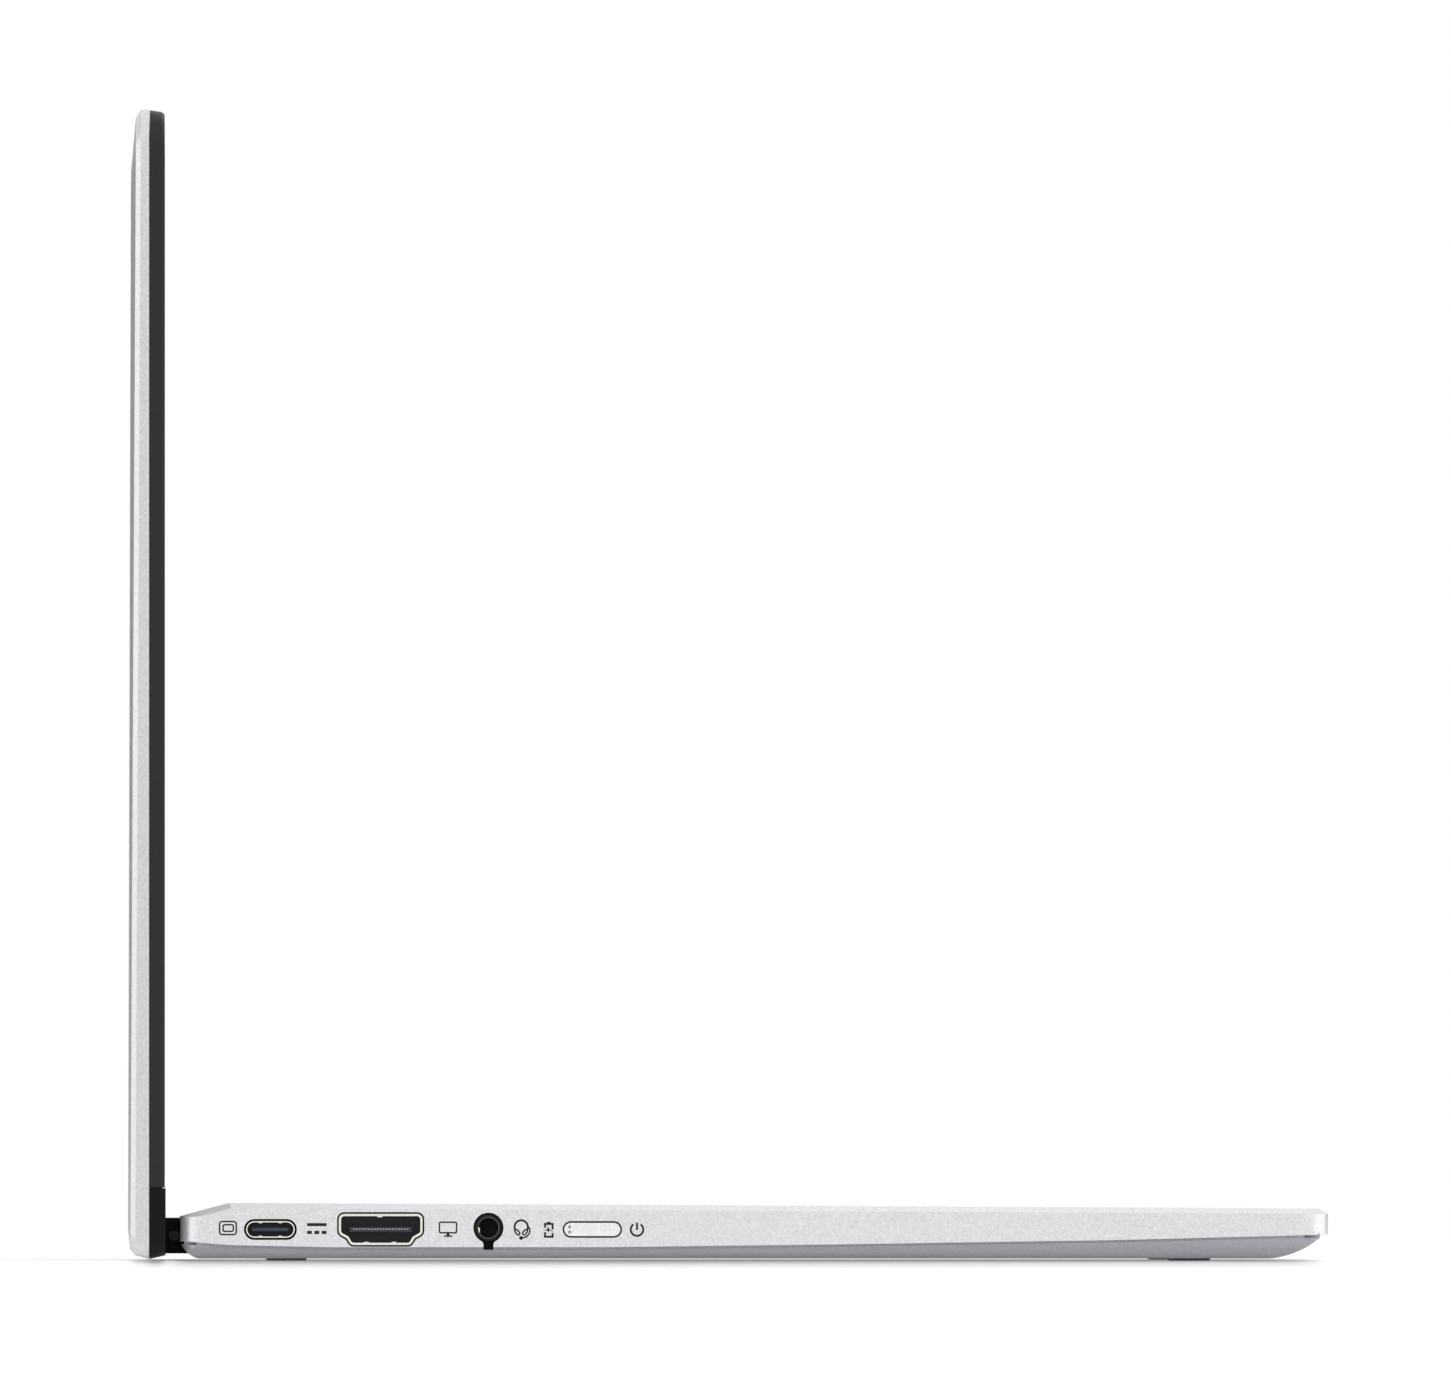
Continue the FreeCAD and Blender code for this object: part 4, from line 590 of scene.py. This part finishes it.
def plate_mesh(name, faces, where, thickness):
    """Flat faces in a plane's own coordinates, thickened outwards."""
    shape = bmesh.new()
    for face in faces:
        shape.faces.new([shape.verts.new((point[0], point[1], 0.0)) for point in face])
    bmesh.ops.remove_doubles(shape, verts=shape.verts, dist=1e-5)
    extruded = bmesh.ops.extrude_face_region(shape, geom=list(shape.faces))
    raised = [item for item in extruded["geom"] if isinstance(item, bmesh.types.BMVert)]
    bmesh.ops.translate(shape, verts=raised, vec=(0, 0, thickness))
    bmesh.ops.recalc_face_normals(shape, faces=shape.faces)
    return finished_mesh(name, shape, where)


def blocks_mesh(name, blocks, rounding):
    """Blocks given by two opposite corners, with round edges."""
    shape = bmesh.new()
    for low, high in blocks:
        size = Vector(high) - Vector(low)
        place = Matrix.Translation((Vector(low) + Vector(high)) / 2) @ Matrix.Diagonal((*size, 1.0))
        bmesh.ops.create_cube(shape, size=1.0, matrix=place)
    bmesh.ops.bevel(shape, geom=list(shape.edges), offset=rounding, segments=2, profile=0.5, affect="EDGES")
    return finished_mesh(name, shape)


def turned_mesh(name, profile, centre, steps=48):
    """A ring round a line along X through a centre, from a closed profile of (X, radius) points."""
    shape = bmesh.new()
    rings = []
    for step in range(steps):
        turn = 2 * math.pi * step / steps
        out_y, out_z = math.cos(turn), math.sin(turn)
        rings.append([shape.verts.new((x, centre.y + radius * out_y, centre.z + radius * out_z))
                      for x, radius in profile])
    for step in range(steps):
        near, far = rings[step], rings[(step + 1) % steps]
        for index in range(len(profile)):
            after = (index + 1) % len(profile)
            shape.faces.new((near[index], near[after], far[after], far[index])).smooth = True
    bmesh.ops.recalc_face_normals(shape, faces=shape.faces)
    return finished_mesh(name, shape)


# Lip behind the open parting line between the covers
sides = (("left", -1), ("right", 1))
lip_runs = (("side", parting_side, lip_side_x), ("front", parting_front, lip_front_x),
            ("rear", parting_rear, lip_rear_x))
for side_name, side in sides:
    for run_name, line, face_x in lip_runs:
        name = f"parting_lip_{side_name}_{run_name}"
        lip_faces = stroke([(side * y, z) for y, z in line][::-side], lip_height)
        mesh = plate_mesh(name, lip_faces, side_plane(side, face_x - lip_thickness), lip_thickness)
        add_piece(name, mesh, finishes["silver_under"], "base")

# Seal in the gap between the bezel and the chin strip
seal_low = (bezel_low.x + seal_end_inset, bezel_low.y + seal_front_inset, chin_top_z - seal_overlap)
seal_high = (bezel_high.x - seal_end_inset, bezel_high.y - seal_back_inset, bezel_low.z + seal_overlap)
seal = blocks_mesh("chin_seal", [(seal_low, seal_high)], seal_rounding)
add_piece("chin_seal", seal, finishes["black_link"], "lid")

# Insides of the sockets: contacts, springs, and black rings of painted shade in the gaps round the shells
painted_shade_black = moulded("painted_shade_black", grey(10), 0.6, 0.7, gloss=0.05)
contact_metal = drawn_metal("contact_metal", display_colour(214, 218, 226), 0.18, 0.26, along_x)
tongue_blue = moulded("tongue_blue", display_colour(52, 62, 78), 0.35, 0.45, gloss=0.5)
jack_gold = drawn_metal("jack_gold", display_colour(250, 236, 208), 0.2, 0.3, along_x)
collar_metal = drawn_metal("collar_grey", display_colour(88, 88, 92), 0.3, 0.4, all_ways)
socket_steel = finishes["socket_steel"]


def contact_row(count, pitch, up, width, height):
    """The places of a row of contacts, centred on a socket's middle."""
    return [(pitch * (index - (count - 1) / 2), up, width, height) for index in range(count)]


def painted_shade_ring(name, outline, width, side):
    """A black ring of painted shade that follows an outline round a socket's shell."""
    where = side_plane(side, shell_mouth_x - gap_recess)
    mesh = plate_mesh(name, stroke(outline, width, True), where, gap_thickness)
    add_piece(name, mesh, painted_shade_black, "base")


def mouth_piece(name, side, middle, depths, places, material):
    """Blocks in a socket's mouth, one at each place, between two depths."""
    near, far = sorted(side * (shell_mouth_x - depth) for depth in depths)
    blocks = []
    for across, up, width, height in places:
        y, z = middle.y + across, middle.z + up
        blocks.append(((near, y - width / 2, z - height / 2), (far, y + width / 2, z + height / 2)))
    add_piece(name, blocks_mesh(name, blocks, contact_rounding), material, "base")


video_outline = rounded_corners(grown(video_corners, video_gap_growth), video_gap_rounding)
# Black ring of painted shade round the video socket's shell
painted_shade_ring("video_socket_painted_shade", moved([video_outline], -video_socket.y, video_socket.z)[0], video_gap_width, -1)
video_contacts = contact_row(count=19, pitch=0.54, up=0.06, width=0.3, height=0.17)
mouth_piece("video_socket_contacts", -1, video_socket, video_contact_depths, video_contacts,
            contact_metal)
mouth_piece("video_socket_springs", -1, video_socket, spring_depths, video_springs,
            socket_steel)
small_contacts = contact_row(count=12, pitch=0.5, up=0, width=0.26, height=0.46)
for side_name, side in sides:
    # Black ring of painted shade round each small socket's shell
    ring = rounded_rectangle((side * small_socket.y, small_socket.z), *small_gap_size, small_gap_rounding)
    painted_shade_ring(f"small_socket_painted_shade_{side_name}", ring, small_gap_width, side)
    mouth_piece(f"small_socket_face_{side_name}", side, small_socket, small_tongue_depths, small_tongue,
                tongue_blue)
    mouth_piece(f"small_socket_contacts_{side_name}", side, small_socket, small_contact_depths,
                small_contacts, tongue_blue)
    mouth_piece(f"small_socket_springs_{side_name}", side, small_socket, spring_depths, small_springs,
                socket_steel)
mouth_piece("large_socket_contacts", 1, large_socket, large_contact_depths, large_contacts,
            finishes["contact_gold"])
mouth_piece("large_socket_springs", 1, large_socket, large_spring_depths, large_springs,
            socket_steel)
collar_points = [(depth - shell_mouth_x, radius) for depth, radius in collar_profile]
collar = turned_mesh("jack_collar", collar_points, headset_jack)
add_piece("jack_collar", collar, collar_metal, "base")
# A black plate of painted shade at the back of the jack's slot
mouth_piece("jack_slot_back", -1, headset_jack, jack_slot_depths, jack_slot, painted_shade_black)
mouth_piece("jack_contact_tip", -1, headset_jack, jack_tip_depths, jack_tip, jack_gold)


# Printed signs beside the sockets: generic pictograms without lettering

def twin_screen_sign():
    outer = rounded_rectangle((0, 0), 3.0, 2.35, 0.45)
    inner = rounded_rectangle((0.05, 0), 1.85, 1.2, 0.3)
    return stroke(outer, thin_sign_line, True) + stroke(inner, thin_sign_line, True)


def direct_current_sign():
    bar = [[(-1.75, 0.48), (1.75, 0.48), (1.75, 1.02), (-1.75, 1.02)]]
    for start in (-1.75, -0.43, 0.89):
        bar.append([(start, -0.95), (start + 0.86, -0.95), (start + 0.86, -0.37), (start, -0.37)])
    return bar


def monitor_sign():
    screen = stroke(rounded_rectangle((0, 0.35), 3.1, 1.9, 0.25), thin_sign_line, True)
    neck = stroke([(0, -0.6), (0, -1.1)], 0.5)
    foot = stroke([(-0.75, -1.2), (0.75, -1.2)], thin_sign_line)
    return screen + neck + foot


def headset_sign():
    band = stroke(arc((0, 0), 1.2, 212, -32), sign_line)
    cups = stroke(capsule((-0.68, -0.98), 1.05, 0.56, -52), thin_sign_line, True)
    cups += stroke(capsule((0.68, -0.98), 1.05, 0.56, 52), thin_sign_line, True)
    boom_line = [(1.22, 0.05), (1.5, -0.3), (1.58, -0.7), (1.42, -1.25), (1.0, -1.75), (0.3, -2.0)]
    boom = stroke(boom_line, thin_sign_line)
    tip = [arc((-0.02, -1.98), 0.36, 0, 360, 20)[:-1]]
    return band + cups + boom + tip


def battery_sign():
    upper = stroke([(-0.68, 0.44), (-0.68, 1.1), (0.68, 1.1), (0.68, 0.1)], sign_line)
    lower = stroke([(-0.68, -0.36), (-0.68, -1.22), (0.68, -1.22), (0.68, -0.55)], sign_line)
    cap = stroke([(-0.28, 1.36), (0.28, 1.36)], thin_sign_line)
    bolt = [[(-1.17, 0.12), (-0.28, -0.12), (-0.04, -0.46), (0.1, -0.06)],
            [(-1.17, 0.12), (0.1, -0.06), (-0.21, 0.58), (-0.3, 0.04)],
            [(-0.21, 0.58), (0.1, -0.06), (0.97, -0.42), (0.16, 0.12)]]
    return upper + lower + cap + bolt


def power_sign():
    ring = stroke(arc((0, 0), 1.13, 125, 415), sign_line)
    bar = stroke([(0, -0.08), (0, 1.25)], sign_line)
    return ring + bar


def minus_sign():
    return stroke([(-0.7, 0), (0.7, 0)], sign_line)


def plus_sign():
    below = stroke([(0, -0.7), (0, -sign_line / 2)], sign_line)
    above = stroke([(0, sign_line / 2), (0, 0.7)], sign_line)
    return minus_sign() + below + above


def padlock_sign():
    body = stroke(rounded_rectangle((0, -0.5), 1.7, 1.25, 0.2), thin_sign_line, True)
    shackle = stroke([(-0.55, 0.12)] + arc((0, 0.5), 0.55, 180, 0, 12) + [(0.55, 0.12)], thin_sign_line)
    return body + shackle


sign_faces = {
    "twin_screen": twin_screen_sign(), "direct_current": direct_current_sign(), "monitor": monitor_sign(),
    "headset": headset_sign(), "battery": battery_sign(), "power": power_sign(),
    "padlock": padlock_sign(), "louder": plus_sign(), "quieter": minus_sign()}
ink = moulded("sign_ink", display_colour(36, 36, 40), 0.5, 0.6, grain=0.2, depth=0.002, edge=0.0, spread=0.1,
              gloss=0.2)
for (side_name, side), places in zip(sides, (left_sign_places, right_sign_places)):
    for number, (sign, (y, z)) in enumerate(places.items(), start=1):
        name = f"{side_name}_sign_{number}"
        faces = moved(sign_faces[sign], side * y, z)
        mesh = plate_mesh(name, faces, side_plane(side, wall_x), ink_thickness)
        add_piece(name, mesh, ink, "base")


# Key legends and finger bumps

def text_faces(words, height, left, middle):
    """The flat faces of a word, with its left end and the middle of its height at a place."""
    curve = bpy.data.curves.new("legend", "FONT")
    curve.body = words
    curve.size = height * font_size_share
    curve.resolution_u = 4
    maker = bpy.data.objects.new("legend", curve)
    bpy.context.scene.collection.objects.link(maker)
    bpy.context.view_layer.update()
    mesh = bpy.data.meshes.new_from_object(maker.evaluated_get(bpy.context.evaluated_depsgraph_get()))
    corners = [vertex.co for vertex in mesh.vertices]
    start = min(corner.x for corner in corners)
    faces = []
    for polygon in mesh.polygons:
        faces.append([(corners[index].x - start + left, corners[index].y - height / 2 + middle)
                      for index in polygon.vertices])
    bpy.data.objects.remove(maker)
    bpy.data.curves.remove(curve)
    bpy.data.meshes.remove(mesh)
    return faces


def triangle(centre, size, turn):
    return [arc(centre, size, turn, turn + 360, 3)[:-1]]


def key_legend(name, left, top, width, depth):
    """The faces printed on one key, whose top face has its left rear corner at left, top."""
    middle_x = left + width / 2
    middle = (middle_x, top - depth / 2)
    text_left = left + legend_inset
    if name == "left":
        return triangle(middle, arrow_size, 180)
    if name == "right":
        return triangle(middle, arrow_size, 0)
    if name == "up_down":
        rear_y, front_y = [top - depth * share for share in paired_arrow_shares]
        upper = triangle((middle_x, rear_y), paired_arrow_size, 90)
        lower = triangle((middle_x, front_y), paired_arrow_size, 270)
        return upper + lower
    if name == "menu":
        return stroke(capsule(middle, menu_ring, menu_ring, 45), menu_line, True)
    if not name:
        return []
    if name in shifted_signs:
        plain = text_faces(name, word_height, text_left, top - depth * plain_share)
        shifted = text_faces(shifted_signs[name], word_height, text_left, top - depth * shifted_share)
        return plain + shifted
    if len(name) == 1:
        return text_faces(name, letter_height, text_left, top - depth * letter_share)
    if depth < key_row_pitch / 2:
        return text_faces(name, function_height, text_left, top - depth * function_share)
    return text_faces(name, word_height, text_left, top - depth * word_share)


legend_ink = moulded("legend_ink", display_colour(214, 214, 216), 0.5, 0.6, grain=0.2, depth=0.002, edge=0.0,
                     spread=0.03)
deck = plane((0, 0, deck_origin_z), (1, 0, 0), (0, math.cos(deck_rise), math.sin(deck_rise)))
key_tops = deck @ Matrix.Translation((0, 0, -key_top_drop))
bumps = []
row_top = keyboard_rear
for row_name, keys in key_rows.items():
    row_depth = key_row_pitch * (function_row_share if row_name == "keys_function_row" else 1.0)
    key_depth = row_depth - key_gap_y
    key_top = row_top - key_gap_y / 2
    key_left = key_rows_left
    faces = []
    for legend, units in keys:
        key_width = units * key_unit - key_gap_x
        faces += key_legend(legend, key_left, key_top, key_width, key_depth)
        if legend in bump_keys:
            x = key_left + key_width / 2
            y = key_top - key_depth + bump_from_edge
            z = deck_origin_z + y * math.tan(deck_rise) - key_top_drop
            bumps.append(((x - bump_length / 2, y - bump_width / 2, z - bump_sink),
                          (x + bump_length / 2, y + bump_width / 2, z + bump_rise)))
        key_left += units * key_unit
    mesh = plate_mesh(f"{row_name}_legends", faces, key_tops, legend_thickness)
    add_piece(f"{row_name}_legends", mesh, legend_ink, row_name)
    row_top -= row_depth
bump_mesh = blocks_mesh("finger_bumps", bumps, bump_rounding)
add_piece("finger_bumps", bump_mesh, finishes["key_plastic"], "keys_home_row")

# Webcam and microphones: an iris behind the lens, marks on the front of the cover glass
iris_blue = moulded("iris_blue", display_colour(20, 22, 38), 0.1, 0.16, grain=0.2, depth=0.001, edge=0.0,
                    gloss=0.9)
ring_grey = moulded("webcam_ring", grey(104), 0.3, 0.4, grain=0.2, depth=0.001, edge=0.0)
dot_grey = moulded("microphone_dot", grey(92), 0.6, 0.7, grain=0.2, depth=0.001, edge=0.0)
behind_lens = user_plane(glass_high.y + iris_gap)
glass_front = user_plane(glass_low.y + mark_sink)
iris = [disc((0, webcam_z), iris_radius)]
ring = stroke(disc((0, webcam_z), ring_radius), ring_width, True)
light = [disc((light_x, webcam_z), light_radius)]
dots = [disc((x, webcam_z), microphone_radius) for x in (-microphone_x, microphone_x)]
webcam_pieces = (
    ("webcam_iris", iris, behind_lens, iris_blue, "lens_glass"),
    ("webcam_ring", ring, glass_front, ring_grey, "black_frame"),
    ("webcam_light", light, glass_front, finishes["light_guide"], "light_guide"),
    ("microphone_dots", dots, glass_front, dot_grey, "black_frame"),
)
for name, faces, where, material, slot in webcam_pieces:
    add_piece(name, plate_mesh(name, faces, where, mark_thickness), material, "lid")


# Studio: floor, world, lamps and camera

def shown_share(tree):
    """1 for rays from the camera and for mirrored and refracted rays, 0 for light that falls on things."""
    path = tree.nodes.new("ShaderNodeLightPath")
    total = path.outputs["Is Camera Ray"]
    for name in ("Is Glossy Ray", "Is Transmission Ray"):
        most = tree.nodes.new("ShaderNodeMath")
        most.operation = "MAXIMUM"
        tree.links.new(total, most.inputs[0])
        tree.links.new(path.outputs[name], most.inputs[1])
        total = most.outputs[0]
    return total


def multiplied(tree, value, factor):
    product = tree.nodes.new("ShaderNodeMath")
    product.operation = "MULTIPLY"
    tree.links.new(value, product.inputs[0])
    if isinstance(factor, bpy.types.NodeSocket):
        tree.links.new(factor, product.inputs[1])
    else:
        product.inputs[1].default_value = factor
    return product.outputs[0]


def mixed_shader(tree, share, first, second):
    mix = tree.nodes.new("ShaderNodeMixShader")
    tree.links.new(share, mix.inputs["Fac"])
    tree.links.new(first, mix.inputs[1])
    tree.links.new(second, mix.inputs[2])
    return mix.outputs[0]


def floor_mesh():
    """A level strip under the object, a slope on each side of it, and level ground beyond."""
    fall_end_x = floor_edge_x + floor_fall_length
    fall_depth = floor_fall * floor_fall_length
    half_profile = [(floor_edge_x, floor_top), (fall_end_x, -fall_depth), (floor_reach, -fall_depth)]
    profile = [(-x, z) for x, z in reversed(half_profile)] + half_profile
    shape = bmesh.new()
    near = [shape.verts.new((x, -floor_reach, z)) for x, z in profile]
    far = [shape.verts.new((x, floor_reach, z)) for x, z in profile]
    for index in range(len(profile) - 1):
        shape.faces.new((near[index], near[index + 1], far[index + 1], far[index]))
    return finished_mesh("floor", shape)


def floor_white():
    """White that takes the shadow near the object, is plain farther off, and is clear from below."""
    material = bpy.data.materials.new("floor_white")
    material.use_nodes = True
    tree = material.node_tree
    shader = tree.nodes["Principled BSDF"]
    shader.inputs["Base Color"].default_value = (floor_albedo, floor_albedo, floor_albedo, 1.0)
    shader.inputs["Roughness"].default_value = 0.9
    shader.inputs["Specular IOR Level"].default_value = 0.0
    shader.inputs["Emission Color"].default_value = (1.0, 1.0, 1.0, 1.0)
    shown = shown_share(tree)
    tree.links.new(multiplied(tree, shown, floor_glow), shader.inputs["Emission Strength"])
    spot = tree.nodes.new("ShaderNodeNewGeometry")
    distance = tree.nodes.new("ShaderNodeVectorMath")
    distance.operation = "LENGTH"
    tree.links.new(spot.outputs["Position"], distance.inputs[0])
    far_share = tree.nodes.new("ShaderNodeMapRange")
    far_share.inputs["From Min"].default_value = floor_white_start * MM
    far_share.inputs["From Max"].default_value = floor_white_end * MM
    tree.links.new(distance.outputs["Value"], far_share.inputs["Value"])
    white = tree.nodes.new("ShaderNodeEmission")
    far_white = mixed_shader(tree, multiplied(tree, shown, far_share.outputs["Result"]),
                             shader.outputs["BSDF"], white.outputs["Emission"])
    clear = tree.nodes.new("ShaderNodeBsdfTransparent")
    surface = mixed_shader(tree, spot.outputs["Backfacing"], far_white, clear.outputs["BSDF"])
    tree.links.new(surface, tree.nodes["Material Output"].inputs["Surface"])
    return material


def studio_floor():
    mesh = floor_mesh()
    mesh.materials.append(floor_white())
    floor = bpy.data.objects.new("floor", mesh)
    bpy.context.scene.collection.objects.link(floor)


def studio_world():
    """A world that is white where it is seen and gives a weaker light."""
    world = bpy.data.worlds.new("studio")
    world.use_nodes = True
    tree = world.node_tree
    light = tree.nodes["Background"]
    white = tree.nodes.new("ShaderNodeBackground")
    for background in (light, white):
        background.inputs["Color"].default_value = (1.0, 1.0, 1.0, 1.0)
    light.inputs["Strength"].default_value = ambient_light
    seen = mixed_shader(tree, shown_share(tree), light.outputs[0], white.outputs[0])
    tree.links.new(seen, tree.nodes["World Output"].inputs["Surface"])
    bpy.context.scene.world = world


def aimed(direction):
    return direction.to_track_quat("-Z", "Y").to_euler()


def dark_card(name, place, width, height):
    """A black card that only mirrors see, turned towards the object."""
    mesh = bpy.data.meshes.new(name)
    corners = [(x * width / 2 * MM, y * height / 2 * MM, 0) for x, y in ((-1, -1), (1, -1), (1, 1), (-1, 1))]
    mesh.from_pydata(corners, [], [(0, 1, 2, 3)])
    material = bpy.data.materials.new(name)
    material.use_nodes = True
    shader = material.node_tree.nodes["Principled BSDF"]
    shader.inputs["Base Color"].default_value = grey(8)
    shader.inputs["Specular IOR Level"].default_value = 0.0
    mesh.materials.append(material)
    card = bpy.data.objects.new(name, mesh)
    card.location = Vector(place) * MM
    card.rotation_euler = aimed(-Vector((place[0], place[1], 0)))
    card.visible_camera = False
    card.visible_diffuse = False
    card.visible_shadow = False
    bpy.context.scene.collection.objects.link(card)


def softbox(name, place, target, width, height, watts, mirrored=True):
    """A flat lamp aimed at a target; glossy surfaces can mirror it or not."""
    lamp = bpy.data.lights.new(name, "AREA")
    lamp.shape = "RECTANGLE"
    lamp.size = width * MM
    lamp.size_y = height * MM
    lamp.energy = watts
    holder = bpy.data.objects.new(name, lamp)
    holder.location = Vector(place) * MM
    holder.rotation_euler = aimed(Vector(target) - Vector(place))
    holder.visible_camera = False
    holder.visible_glossy = mirrored
    bpy.context.scene.collection.objects.link(holder)


def photograph_camera():
    """The photograph's view: the picture spans image_width on the plane of the seen wall."""
    data = bpy.data.cameras.new("camera")
    data.sensor_width = sensor_width
    data.lens = lens_length
    distance = image_width / sensor_width * lens_length
    eye = Vector((-wall_x - distance, eye_y, eye_z))
    aim = Vector((-wall_x, image_centre_y, image_centre_z))
    data.clip_end = 2 * distance * MM
    camera = bpy.data.objects.new("camera", data)
    camera.location = eye * MM
    camera.rotation_euler = aimed(aim - eye)
    bpy.context.scene.collection.objects.link(camera)
    bpy.context.scene.camera = camera


studio_floor()
studio_world()
softbox("key_softbox", place=(-1400, -350, 1100), target=(0, 0, 80), width=1700, height=1100, watts=12.8,
        mirrored=False)
softbox("top_softbox", place=(200, 0, 1500), target=(0, 0, 0), width=1400, height=1400, watts=9,
        mirrored=False)
softbox("front_strip", place=(100, -1500, 250), target=(0, 0, 100), width=1300, height=700, watts=3.2)
softbox("rear_strip", place=(-500, 1450, 250), target=(0, 0, 100), width=1400, height=700, watts=3.2)
dark_card("front_card", place=(1230, -860, 150), width=1100, height=500)
dark_card("rear_card", place=(1080, 1040, 150), width=1500, height=500)
photograph_camera()
bpy.context.scene.view_settings.view_transform = "Standard"
